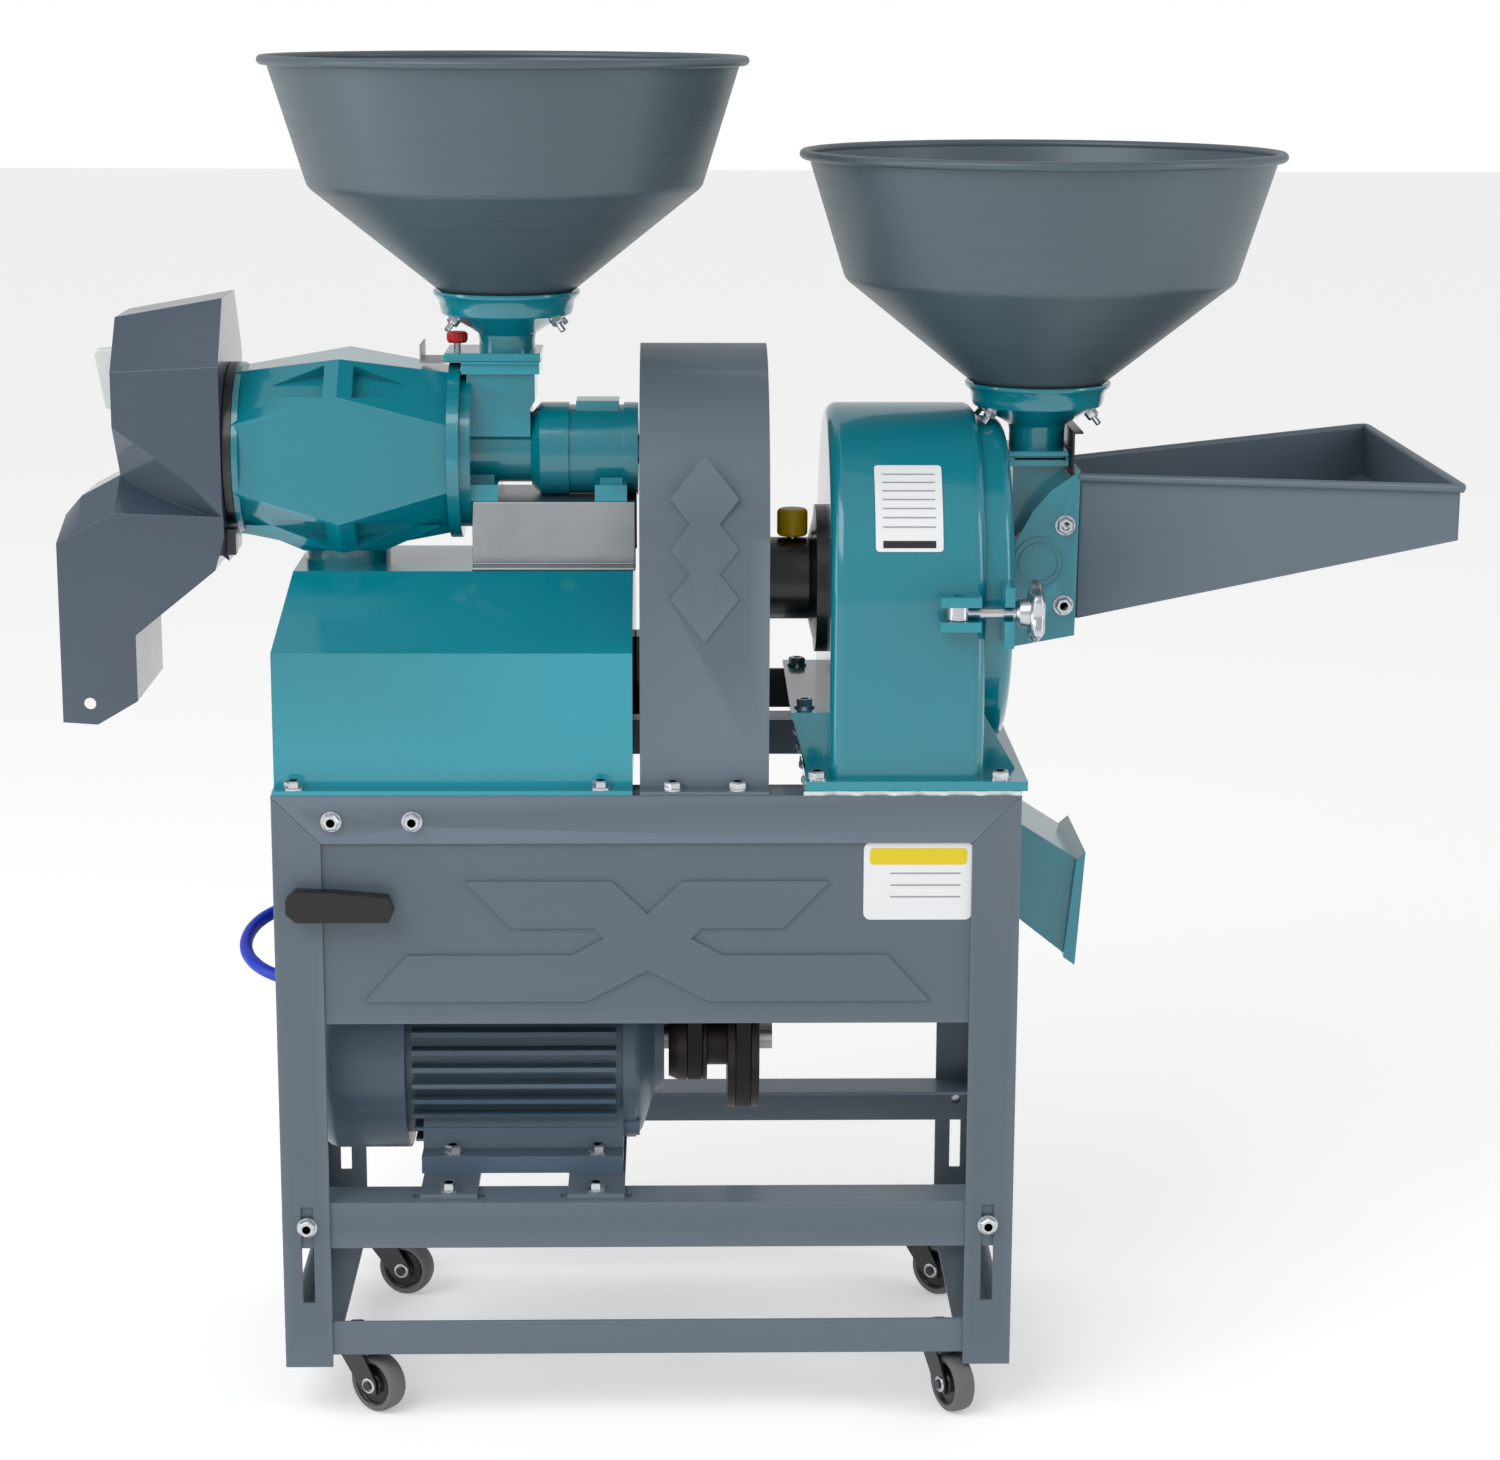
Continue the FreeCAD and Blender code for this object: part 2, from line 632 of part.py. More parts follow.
def make_hood():
    """Sheet-metal discharge hood, open at the collar and at the foot of its chute."""
    x_right = barrel_left - collar_ring_width
    outer = hood_drum(0, x_right).fuse(hood_chute(0, 0))
    inner = hood_drum(hood_wall, x_right - hood_wall).fuse(hood_chute(hood_wall, 30))
    body = outer.cut(inner)
    body = body.cut(rod(x_right - 10, 0, huller_axis_z, X, 60, 20))
    body = body.cut(rod(-467, -hood_chute_half_depth - 5, 602, Y, hood_hole_radius, 2 * hood_chute_half_depth + 10))
    return body.cut(rod(hood_drum_left - 5, 0, knob_height, X, 5.0, 10))


def make_pressure_plate():
    """Plate that the pressure screw holds before the outlet, with its arm."""
    x0 = barrel_left - collar_ring_width - 14
    disc = ring(x0, 0, huller_axis_z, X, 40, 16, 3)
    arm = block(x0 - 3, x0, -10, 10, huller_axis_z + 20, knob_height + 12)
    nut = ring(x0 - 11, 0, knob_height, X, 9, 4.1, 8)
    return fuse([disc, arm, nut]).cut(rod(x0 - 12, 0, knob_height, X, 4.1, 20))


def make_pressure_knob():
    """Moulded wing knob on its long screw."""
    x1 = hood_drum_left - 0.6
    outline = [(x1, knob_height + 25), (x1 - 21, knob_height + 24), (x1 - 24, knob_height + 20),
               (x1 - 16, knob_height - 24), (x1 - 13, knob_height - 26), (x1, knob_height - 26)]
    wing = prism_xz(outline, -8, 8)
    screw = rod(x1 - 2, 0, knob_height, X, 4.0, barrel_left - collar_ring_width - 8 - x1)
    return fuse([wing, screw])


# ---------------------------------------------------------------- belt guard
def guard_outline(radius, bottom):
    """Half-round top on straight sides, as one wire in Y and Z at X = 0."""
    c = guard_center_z
    arc = Part.Arc(V(0, -radius, c), V(0, 0, c + radius), V(0, radius, c)).toShape()
    a = Part.LineSegment(V(0, -radius, bottom), V(0, -radius, c)).toShape()
    b = Part.LineSegment(V(0, radius, c), V(0, radius, bottom)).toShape()
    base = Part.LineSegment(V(0, radius, bottom), V(0, -radius, bottom)).toShape()
    return Part.Face(Part.Wire([a, arc, b, base]))


def make_belt_guard():
    """Folded guard over both belts, open below, with pressed diamonds on its front."""
    outer = guard_outline(guard_radius, deck)
    outer = outer.extrude(V(guard_right - guard_left, 0, 0))
    outer.translate(V(guard_left, 0, 0))
    inner = guard_outline(guard_radius - guard_wall, deck - 1)
    inner = inner.extrude(V(guard_right - guard_left - 2 * guard_wall, 0, 0))
    inner.translate(V(guard_left + guard_wall, 0, 0))
    flange = block(guard_left, guard_right, -guard_radius - guard_flange, guard_radius + guard_flange, deck, deck + 3)
    flange = flange.cut(block(guard_left + guard_wall, guard_right - guard_wall, -guard_radius + guard_wall,
                              guard_radius - guard_wall, deck - 1, deck + 4))
    body = fuse([outer.cut(inner), flange])
    mid_x = (guard_left + guard_right) / 2
    half_w = 28.0
    half_h = 36.0
    for z in (705, 746, 787):
        diamond = [(mid_x - half_w, z), (mid_x, z - half_h), (mid_x + half_w, z), (mid_x, z + half_h)]
        body = body.fuse(prism_xz(diamond, -guard_radius - 1.5, -guard_radius + guard_wall / 2))
    body = body.cut(rod(guard_left - 1, 0, huller_axis_z, X, 24, 5))
    body = body.cut(rod(guard_right - 4, 0, mill_axis_z, X, 24, 8))
    for x in (guard_left + 27, guard_right - 26):
        for side in (-1, 1):
            bolt("bolts", x, side * (guard_radius + guard_flange / 2), deck + 3, Z, 8.0, 3 + angle_wall, False)
    return body


def make_guard_stays():
    """Packing behind the guard on the box side and a flat stay to the mill's foot."""
    near = block(box_right, guard_left, stay_y - 30, stay_y + stay_wall, stay_bottom, stay_bottom + 2 * stay_height)
    far = block(guard_right, 142, stay_y, stay_y + stay_wall, stay_bottom, stay_bottom + stay_height)
    return [near, far]


# ---------------------------------------------------------------- mill
def u_outline(radius, x0, x1, bottom):
    c = mill_axis_z
    arc = Part.Arc(V(x0, -radius, c), V(x0, 0, c + radius), V(x0, radius, c)).toShape()
    a = Part.LineSegment(V(x0, -radius, bottom), V(x0, -radius, c)).toShape()
    b = Part.LineSegment(V(x0, radius, c), V(x0, radius, bottom)).toShape()
    base = Part.LineSegment(V(x0, radius, bottom), V(x0, -radius, bottom)).toShape()
    return Part.Face(Part.Wire([a, arc, b, base])).extrude(V(x1 - x0, 0, 0))


def make_casing():
    """Rounded U-shaped mill casing with a closed back and an open side for the door."""
    bottom = deck + gasket_wall + pedestal_wall
    outer = u_outline(casing_radius, casing_left, casing_right, bottom)
    edges = [e for e in outer.Edges if abs(e.BoundBox.XLength) < 0.01 and e.BoundBox.ZMax > bottom + 5
             and e.BoundBox.ZLength > 1]
    outer = outer.makeFillet(casing_round, edges)
    inner = u_outline(casing_radius - casing_wall, casing_left + casing_wall + 2, casing_right - casing_wall, bottom - 1)
    body = outer.cut(inner)
    body = body.cut(rod(casing_right - casing_wall - 1, 0, mill_axis_z, X, sieve_radius + sieve_wall + 0.4, 20))
    body = body.cut(rod(casing_left - 1, 0, mill_axis_z, X, mill_bearing_radius + 0.3, 20))
    ears = []
    for z in (mill_axis_z + 6, mill_axis_z - 14):
        ear = block(237, 270, -casing_radius - 26, -casing_radius + 3, z, z + 8)
        ears.append(ear.cut(rod(252, -casing_radius - 14, z - 1, Z, 4.0, 10)))
    return fuse([body] + ears)


def make_pedestal():
    """Base plate of the mill with two gussets on the door side."""
    z0 = deck + gasket_wall
    plate = block(pedestal_left, pedestal_right, -162, 162, z0, z0 + pedestal_wall)
    plate = plate.cut(block(180, 236, -56, 56, z0 - 1, z0 + pedestal_wall + 1))
    gussets = []
    for side in (-1, 1):
        y0 = side * 110 - 4
        points = [(casing_right, z0 + pedestal_wall), (pedestal_right - 6, z0 + pedestal_wall), (casing_right, z0 + 58)]
        gussets.append(prism_xz(points, y0, y0 + 8))
        for x in (pedestal_left + 9.5, pedestal_right - 22):
            bolt("bolts", x, side * 152, z0 + pedestal_wall, Z, 8.0, pedestal_wall + gasket_wall + angle_wall, False)
    return fuse([plate] + gussets)


def make_gasket():
    z0 = deck
    plate = block(pedestal_left - 2, pedestal_right - 4, -165, 165, z0, z0 + gasket_wall)
    return plate.cut(block(178, 238, -58, 58, z0 - 1, z0 + gasket_wall + 1))


def make_mill_foot():
    """Folded foot on the belt side of the mill."""
    z0 = deck + gasket_wall + pedestal_wall
    top = 603.0
    pieces = [block(119, casing_left, -112, 112, top - 6, top)]
    for side in (-1, 1):
        y0 = side * 109 - 3
        points = [(119, top), (casing_left, top), (casing_left, z0), (pedestal_left + 2, z0)]
        pieces.append(prism_xz(points, y0, y0 + 6))
        bolt("bolts", 131, side * 89, top, Z, 8.0, 6)
    return fuse(pieces)


def make_door():
    """Round door with a rolled edge and the feed inlet at its middle."""
    x1 = casing_right + door_thickness
    outer = rod(casing_right, 0, mill_axis_z, X, door_radius, door_thickness)
    edges = [e for e in outer.Edges if e.BoundBox.XMin > x1 - 1 and e.BoundBox.ZLength > 10]
    outer = outer.makeFillet(door_round, edges)
    inner = rod(casing_right - 1, 0, mill_axis_z, X, door_radius - 8, door_thickness - 6)
    boss = rod(casing_right + 4, 0, mill_axis_z, X, 78, door_thickness - 5)
    body = outer.cut(inner).fuse(boss)
    lug = block(289, 297, -casing_radius - 24, -casing_radius + 26, mill_axis_z - 28, mill_axis_z + 22)
    lug = lug.cut(rod(casing_right, 0, mill_axis_z, X, door_radius - 4, 30))
    body = body.fuse(lug)
    body = body.cut(block(280, 305, -casing_radius - 40, -casing_radius - 8, mill_axis_z - 6, mill_axis_z + 6))
    return body.cut(rod(casing_right - 2, 0, mill_axis_z, X, inlet_radius, 60)).removeSplitter()


def make_fixed_disc():
    """Still toothed disc on the inside of the door."""
    x1 = casing_right + 4
    plate = ring(x1 - 8, 0, mill_axis_z, X, 74, inlet_radius, 8)
    teeth = []
    for k in range(8):
        tooth = block(x1 - 28, x1 - 7, -5, 5, mill_axis_z + 44, mill_axis_z + 54)
        tooth.rotate(V(0, 0, mill_axis_z), X, 45 * k)
        teeth.append(tooth)
    return fuse([plate] + teeth)


def make_ring_sieve():
    """Round sieve between the back of the casing and the door."""
    x0 = casing_left + casing_wall + 2.3
    return ring(x0, 0, mill_axis_z, X, sieve_radius + sieve_wall, sieve_radius, casing_right - 0.3 - x0)


def make_mill_bearing_housing():
    """Cast bearing housing that flares to the casing."""
    z = mill_axis_z
    r = mill_bearing_radius
    x0 = mill_bearing_left
    profile = [(x0, 0), (x0, r), (grease_cup_x + 13.5, r), (casing_left - 8, mill_bearing_flange - 6),
               (casing_left - 8, mill_bearing_flange), (casing_left, mill_bearing_flange), (casing_left, r),
               (casing_left + 8, r), (casing_left + 8, 0)]
    body = turned_x(profile, z)
    body = body.cut(rod(x0 - 1, 0, z, X, 20.0, 80)).cut(rod(x0 - 1, 0, z, X, 23.5, 15))
    body = body.cut(rod(casing_left + 8 - 14, 0, z, X, 23.5, 15))
    return body.cut(rod(grease_cup_x, 0, z + 15, Z, 4.0, 40))


def make_grease_cup():
    z = mill_axis_z + mill_bearing_radius
    stem = rod(grease_cup_x, 0, z - 8, Z, 4.0, 12)
    profile = [(0, z + 2), (11, z + 2), (13, z + 4), (13, z + 23), (11, z + 25), (0, z + 25)]
    return fuse([stem, turned_z(profile, grease_cup_x)])


def make_feed_box():
    """Cast feed box: neck for the hopper, cheeks that hold the tray, flange on the door."""
    x0 = feed_box_left
    x1 = feed_box_right
    cheek = [(x0, 646), (x1 - 2, 657), (x1, 797), (x1 - 24, 780), (x1 - 39, 763), (x0, 722)]
    outer = prism_xz(cheek, -feed_side_half, feed_side_half)
    w = feed_wall
    hollow = [(x0 + w, 646 + w + 1), (x1 + 5, 657 + w), (x1 + 5, 801 - 2), (x1 - 24, 780 - w * 1.3), (x1 - 39, 763 - w * 1.3),
              (x0 + w, 722 - w * 1.2)]
    inner = prism_xz(hollow, -feed_side_half + w, feed_side_half - w)
    neck = block(308, 352, -25, 25, 730, mill_neck_bottom - 6)
    flange = block(303, 354, -34, 34, mill_neck_bottom - 8, mill_neck_bottom - 3)
    body = outer.fuse([neck, flange]).cut(inner)
    body = body.cut(block(311, 349, -21, 21, 700, mill_neck_bottom))
    body = body.cut(rod(x0 - 1, 0, mill_axis_z, X, inlet_radius, 6))
    ring_x = 329.0
    ring_z = 719.0
    for r_out, r_in in ((22.0, 20.0), (17.0, 15.5)):
        body = body.fuse(ring(ring_x, -feed_side_half - 1.2, ring_z, Y, r_out, r_in, 2.0))
    for z in (751, 683):
        for side in (-1, 1):
            bolt("bolts", 350, side * feed_side_half, z, Y * side, 8.0, feed_wall + tray_wall + 0.5, False)
    slot = tray_inner_half - tray_wall
    body = body.cut(block(tray_gate_x - 0.4, tray_gate_x + 2.4, -slot, slot, 740, 830))
    return body.removeSplitter()


def tray_block(out, near_low, near_high, far_low, far_high):
    """Solid that follows the tray's plan, wider than it by a distance, between heights at its ends."""
    a = tray_inner_half + out
    b = tray_outer_half + out
    far = tray_right + out
    near = feed_box_right
    return frustum([(near, -a, near_low), (near, a, near_low), (near, a, near_high), (near, -a, near_high)],
                   [(far, -b, far_low), (far, b, far_low), (far, b, far_high), (far, -b, far_high)])


def make_tray():
    """Flared feed tray with a rolled rim on three sides and two cheeks inside the feed box."""
    t = tray_wall
    o = 2 * tray_bead
    inner_top = tray_rim_inner_z
    outer_top = tray_rim_outer_z
    outer = tray_block(0, tray_floor_inner_z, inner_top, tray_floor_outer_z, outer_top)
    band = tray_block(o, inner_top - o, inner_top, outer_top - o, outer_top)
    hollow = tray_block(-t, tray_floor_inner_z + t, inner_top + o, tray_floor_outer_z + t, outer_top + o)
    hollow_near = block(feed_box_right - 1, feed_box_right + 1, -tray_inner_half + t, tray_inner_half - t,
                        tray_floor_inner_z + t, inner_top + o)
    tongue = [(tray_left, tray_floor_inner_z), (feed_box_right, tray_floor_inner_z), (feed_box_right, 770),
              (tray_left, 764)]
    cheeks = [prism_xz(tongue, side - t / 2, side + t / 2)
              for side in (t / 2 - tray_inner_half, tray_inner_half - t / 2)]
    return outer.fuse([band] + cheeks).cut(hollow).cut(hollow_near).removeSplitter()


def chute_outline(inset, extend):
    return [(180 + inset, deck - angle_wall + 3 + extend), (238 - inset, deck - angle_wall + 3 + extend),
            (238 - inset, 545 - inset), (369 + extend, 462 - extend * 0.6 - inset), (358 + extend, 379 - extend * 0.8 + inset),
            (180 + inset, 520 + inset)]


def make_chute():
    """Outlet chute that slopes out under the deck ring."""
    h = chute_half_depth
    shell = prism_xz(chute_outline(0, 0), -h, h).cut(prism_xz(chute_outline(chute_wall, 10), -h + chute_wall, h - chute_wall))
    lip = prism_xz([(365, 464), (373, 471), (366, 371), (356, 378)], -h - 6, h + 6)
    lip = lip.cut(prism_xz(chute_outline(chute_wall, 10), -h + chute_wall, h - chute_wall))
    return fuse([shell, lip])


# ---------------------------------------------------------------- motor
def make_motor_housing():
    """Finned motor body with its feet."""
    z = motor_axis_z
    length = motor_body_right - motor_body_left
    core = rod(motor_body_left, 0, z, X, motor_core_radius, length)
    envelope = rod(motor_body_left + 6, 0, z, X, motor_radius, length - 12)
    fins = []
    for k in range(-5, 6):
        fins.append(block(motor_body_left, motor_body_right, -120, 120, z + 15 * k - 2, z + 15 * k + 2))
    fins = Part.makeCompound(fins).common(envelope)
    base_z = motor_rail_top + crossbar_wall
    f = motor_foot_half
    profile = [(-f, base_z), (f, base_z), (f, base_z + 15), (f - 22, base_z + 15), (f - 32, base_z + 50),
               (32 - f, base_z + 50), (22 - f, base_z + 15), (-f, base_z + 15)]
    feet = prism_yz(profile, motor_foot_left, motor_foot_right - 2)
    feet = feet.cut(block(motor_foot_left - 1, motor_foot_right, -f + 40, f - 40, base_z - 1, base_z + 8))
    body = core.fuse(fins.Solids + [feet])
    for x in (motor_foot_left + 26, motor_foot_right - 24):
        for side in (-1, 1):
            bolt("bolts", x, side * (f - 11), base_z + 15, Z, 8.0, 15 + crossbar_wall)
    return body.cut(rod(motor_body_left - 1, 0, z, X, stator_bore, length + 2)).removeSplitter()


def make_motor_shield():
    """Drive-end shield with its bearing seat and four lugs."""
    z = motor_axis_z
    x0 = motor_body_right
    x1 = motor_shield_right
    r = motor_shield_radius
    profile = [(x0, 0), (x0, r), (x0 + 10, r), (x0 + 16, r - 8), (x1 - 8, 48), (x1, 44), (x1, 0)]
    body = turned_x(profile, z)
    hollow = turned_x([(x0 - 1, 0), (x0 - 1, 80), (x0 + 8, 76), (x0 + 15, 34), (x0 + 15, 0)], z)
    body = body.cut(hollow)
    for angle in (45, 135, 225, 315):
        lug = rod(x0, 0, z + r - 2, X, 9, 14)
        lug.rotate(V(0, 0, z), X, angle)
        body = body.fuse(lug)
    body = body.cut(rod(x0 - 1, 0, z, X, 26.0, x1 - 4 - x0 + 1))
    return body.cut(rod(x1 - 10, 0, z, X, 16.0, 20)).removeSplitter()


def make_fan_cover():
    """Pressed fan cover with slots in its end."""
    z = motor_axis_z
    outer = rod(motor_left, 0, z, X, motor_radius, motor_body_left - motor_left)
    edges = [e for e in outer.Edges if e.BoundBox.XMax < motor_left + 1 and e.BoundBox.ZLength > 10]
    outer = outer.makeFillet(16, edges)
    inner = rod(motor_left + 2, 0, z, X, motor_radius - 2, motor_body_left - motor_left)
    inner_edges = [e for e in inner.Edges if e.BoundBox.XMax < motor_left + 3 and e.BoundBox.ZLength > 10]
    inner = inner.makeFillet(14, inner_edges)
    body = outer.cut(inner)
    for k in range(12):
        slot = block(motor_left - 1, motor_left + 5, -4, 4, z + 30, z + 66)
        slot.rotate(V(0, 0, z), X, 30 * k)
        body = body.cut(slot)
    return body


def make_motor_back_shield():
    """Fan-end shield inside the cover."""
    z = motor_axis_z
    x0 = motor_body_left - 16
    rim = motor_radius - 2.3
    profile = [(x0, 0), (x0, 40), (x0 + 6, motor_core_radius), (motor_body_left - 8, motor_core_radius),
               (motor_body_left - 8, rim), (motor_body_left, rim), (motor_body_left, 0)]
    body = turned_x(profile, z)
    return body.cut(rod(x0 + 1, 0, z, X, 26.0, 40)).cut(rod(x0 - 1, 0, z, X, 14.0, 10))


def make_terminal_box():
    z0 = motor_axis_z + motor_core_radius - 3
    body = block(-150, -70, -42, 42, z0, z0 + 52)
    body = body.cut(rod(-200, 0, motor_axis_z, X, motor_radius + 0.3, 200))
    return body


def make_terminal_gland():
    z0 = 406.0
    return ring(-162, 15, z0, X, 10, lead_diameter / 2 + 0.3, 12)


def make_motor_rotor():
    """Motor shaft with its rotor core."""
    z = motor_axis_z
    shaft = rod(motor_body_left - 40, 0, z, X, motor_shaft_radius, mill_belt_x + 26 - motor_body_left + 40)
    core = rod(motor_body_left + 30, 0, z, X, rotor_radius, motor_body_right - motor_body_left - 60)
    return fuse([shaft, core])


def make_cooling_fan():
    z = motor_axis_z
    x0 = motor_body_left - 38
    hub = ring(x0, 0, z, X, 22, motor_shaft_radius, 18)
    plate = ring(x0 + 14, 0, z, X, 72, 20, 3)
    blades = []
    for k in range(6):
        blade = block(x0, x0 + 15, -1.5, 1.5, z + 20, z + 74)
        blade.rotate(V(0, 0, z), X, 60 * k)
        blades.append(blade)
    return fuse([hub, plate] + blades)


def groove(x, radius):
    """V groove for one belt, as an outline of X and radius."""
    slope = math.tan(math.radians(belt_half_angle))
    top = belt_top_width / 2 + belt_gap
    bottom = top - (belt_depth + belt_gap) * slope
    return [(x - top - slope, radius + 0.0), (x - bottom, radius - belt_depth - belt_gap - 1.0),
            (x + bottom, radius - belt_depth - belt_gap - 1.0), (x + top + slope, radius + 0.0)]


def make_motor_pulley():
    """Stepped pulley: small groove for the huller, large groove for the mill."""
    z = motor_axis_z
    a = huller_belt_x
    b = mill_belt_x
    half = belt_top_width / 2 + belt_gap + 1 + pulley_rim
    profile = [(motor_shield_right + 4, 0), (motor_shield_right + 4, motor_small_radius - 4), (a - half, motor_small_radius)]
    profile += groove(a, motor_small_radius)
    profile += [(a + half - 3, motor_small_radius), (a + half - 3, 26), (b - half, 26), (b - half, motor_large_radius)]
    profile += groove(b, motor_large_radius)
    profile += [(b + half, motor_large_radius), (b + half, 0)]
    return turned_x(profile, z).cut(rod(0, 0, z, X, motor_shaft_radius, 200))


def make_plain_pulley(x, z, radius, bore, hub, web):
    """Single-groove pulley with a hub; a large one is dished between rim and hub."""
    half = belt_top_width / 2 + belt_gap + 1 + pulley_rim
    profile = [(x - half, 0), (x - half, radius)] + groove(x, radius) + [(x + half, radius), (x + half, 0)]
    body = turned_x(profile, z)
    if web:
        inner = radius - 22
        for x0, x1 in ((x - half - 1, x - 5), (x + 5, x + half + 1)):
            body = body.cut(ring(x0, 0, z, X, inner, hub, x1 - x0))
    return body.cut(rod(x - half - 1, 0, z, X, bore, 2 * half + 2))


def make_belt(x, z_low, low_radius, z_high, high_radius):
    """V belt round two pulleys, one above the other."""
    gap = belt_gap
    slope = math.tan(math.radians(belt_half_angle))
    top = belt_top_width / 2
    bottom = top - belt_depth * slope
    span = z_high - z_low
    r1 = low_radius - gap
    r2 = high_radius - gap
    lean = math.asin((r1 - r2) / span)

    def section(radius, z, angle):
        """Belt section at an angle above level on the +Y side."""
        pts = []
        for dx, r in ((-top, radius), (top, radius), (bottom, radius - belt_depth), (-bottom, radius - belt_depth)):
            pts.append(V(x + dx, r * math.cos(angle), z + r * math.sin(angle)))
        return polygon_face(pts)

    low = section(r1, z_low, lean)
    high = section(r2, z_high, lean)
    straight = low.extrude(V(0, r2 * math.cos(lean) - r1 * math.cos(lean), span + (r2 - r1) * math.sin(lean)))
    other = straight.mirror(V(0, 0, 0), Y)
    low_turn = low.revolve(V(x, 0, z_low), X, -(180 + 2 * math.degrees(lean)))
    high_turn = high.revolve(V(x, 0, z_high), X, 180 - 2 * math.degrees(lean))
    return straight.fuse([other, low_turn, high_turn]).removeSplitter()


# ---------------------------------------------------------------- shafts
def make_huller_shaft():
    """Huller shaft with its feed screw body and ribbed hulling roller."""
    z = huller_axis_z
    x_end = huller_belt_x + 16
    x_start = barrel_left - collar_ring_width - 6
    shaft = rod(x_start, 0, z, X, huller_shaft_radius, x_end - x_start)
    screw = rod(barrel_right - 10, 0, z, X, 16, feed_body_right - 10 - barrel_right + 10)
    roller = rod(barrel_left + 12, 0, z, X, 36, barrel_right - 24 - barrel_left)
    ribs = []
    for k in range(4):
        rib = block(barrel_left + 12, barrel_right - 12 - 6, -5, 5, z + 34, z + 41)
        rib.rotate(V(0, 0, z), X, 90 * k)
        ribs.append(rib)
    return fuse([shaft, screw, roller] + ribs)


def make_mill_rotor():
    """Mill shaft with its toothed disc and four hammers."""
    z = mill_axis_z
    x_start = mill_belt_x - 14
    disc_x = casing_left + casing_wall + 22
    shaft = rod(x_start, 0, z, X, mill_shaft_radius, disc_x + 14 - x_start)
    disc = rod(disc_x, 0, z, X, 100, 8)
    hub = rod(disc_x - 10, 0, z, X, 22, 26)
    parts = [shaft, disc, hub]
    for k in range(4):
        hammer = block(disc_x + 7, casing_right - 16, -7, 7, z + 84, z + 108)
        hammer.rotate(V(0, 0, z), X, 90 * k)
        parts.append(hammer)
    for k in range(8):
        tooth = block(disc_x + 7, disc_x + 30, -5, 5, z + 60, z + 70)
        tooth.rotate(V(0, 0, z), X, 45 * k + 22.5)
        parts.append(tooth)
    return fuse(parts)


def make_bearings():
    """Ball bearings of all three shafts, as closed rings."""
    g = running_fit
    rings = []
    for x in (feed_body_right, bearing_body_right - 16):
        rings.append(ring(x + 0.5, 0, huller_axis_z, X, 26.0, huller_shaft_radius + g, 15))
    for x in (mill_bearing_left, casing_left + 8 - 14):
        rings.append(ring(x + (0.0 if x == mill_bearing_left else 0.0), 0, mill_axis_z, X, 23.5, mill_shaft_radius + g, 14))
    rings.append(ring(motor_shield_right - 20, 0, motor_axis_z, X, 26.0, motor_shaft_radius + g, 15))
    rings.append(ring(motor_body_left - 15, 0, motor_axis_z, X, 26.0, motor_shaft_radius + g, 15))
    return rings


# ---------------------------------------------------------------- small moving pieces
def make_huller_gate():
    """Stainless slide with a turned-up end."""
    z = feed_box_top + 0.4
    x0 = huller_feed_x - 72
    plate = block(x0, huller_feed_x + 3, -24, 24, z, z + gate_wall)
    lip = block(x0, x0 + gate_wall, -24, 24, z, z + 15)
    return fuse([plate, lip])


def make_gate_guides():
    """Two strips that hold the neck above the slide."""
    z0 = feed_box_top
    strips = []
    for side in (-1, 1):
        y = side * 30.2
        strips.append(block(huller_feed_x - 37, huller_feed_x + 28, y - 5.8, y + 5.8, z0, z0 + gate_slot))
    return strips


def make_gate_knob():
    """Red knob and screw that nip the slide."""
    x = huller_feed_x - 42
    z = feed_box_top + gate_wall + 0.7
    screw = rod(x, 0, z, Z, 3.0, 14)
    knob = rod(x, 0, z + 13, Z, 8.5, 9)
    return fuse([screw, knob])


def make_clamp_bolt():
    """Eye bolt that swings on the casing's pin."""
    y = -casing_radius - 14
    z = mill_axis_z
    eye = ring(252, y, z - 5.5, Z, 9, 4.0 + running_fit, 11)
    shank = rod(252 + 7, y, z, X, 4.5, 52)
    return fuse([eye, shank]).cut(rod(252, y, z - 10, Z, 4.0 + running_fit, 20))


def make_handwheel():
    """Star handwheel on the eye bolt."""
    y = -casing_radius - 14
    z = mill_axis_z
    hub = rod(298.6, y, z, X, 11, 13)
    points = []
    for k in range(40):
        a = math.radians(9 * k)
        r = 22 + 3.0 * math.cos(5 * a)
        points.append((y + r * math.cos(a), z + r * math.sin(a)))
    star = prism_yz(points, 309, 321)
    return fuse([hub, star]).cut(rod(290, y, z, X, 4.5 + running_fit, 22))


def make_mill_gate():
    """Slide under the mill's neck, pulled to the rear."""
    z = mill_neck_bottom - 2.6
    plate = block(mill_feed_x - 21, mill_feed_x + 21, -24, 78, z, z + 2)
    lip = block(mill_feed_x - 21, mill_feed_x + 21, 76, 78, z - 12, z + 2)
    return fuse([plate, lip])


def make_mill_gate_guides():
    z0 = mill_neck_bottom - 3
    return [block(mill_feed_x - 27, mill_feed_x - 21.4, -34, 34, z0, z0 + 3),
            block(mill_feed_x + 21.4, mill_feed_x + 24, -34, 34, z0, z0 + 3)]


def make_tray_gate():
    """Black slide that meters the tray, with a finger lip along its top."""
    x0 = tray_gate_x
    half = tray_inner_half - tray_wall - 0.3
    plate = block(x0, x0 + 2, -half, half, 745, 829)
    lip = block(x0, x0 + 9, -half, half, 827, 829)
    return fuse([plate, lip])


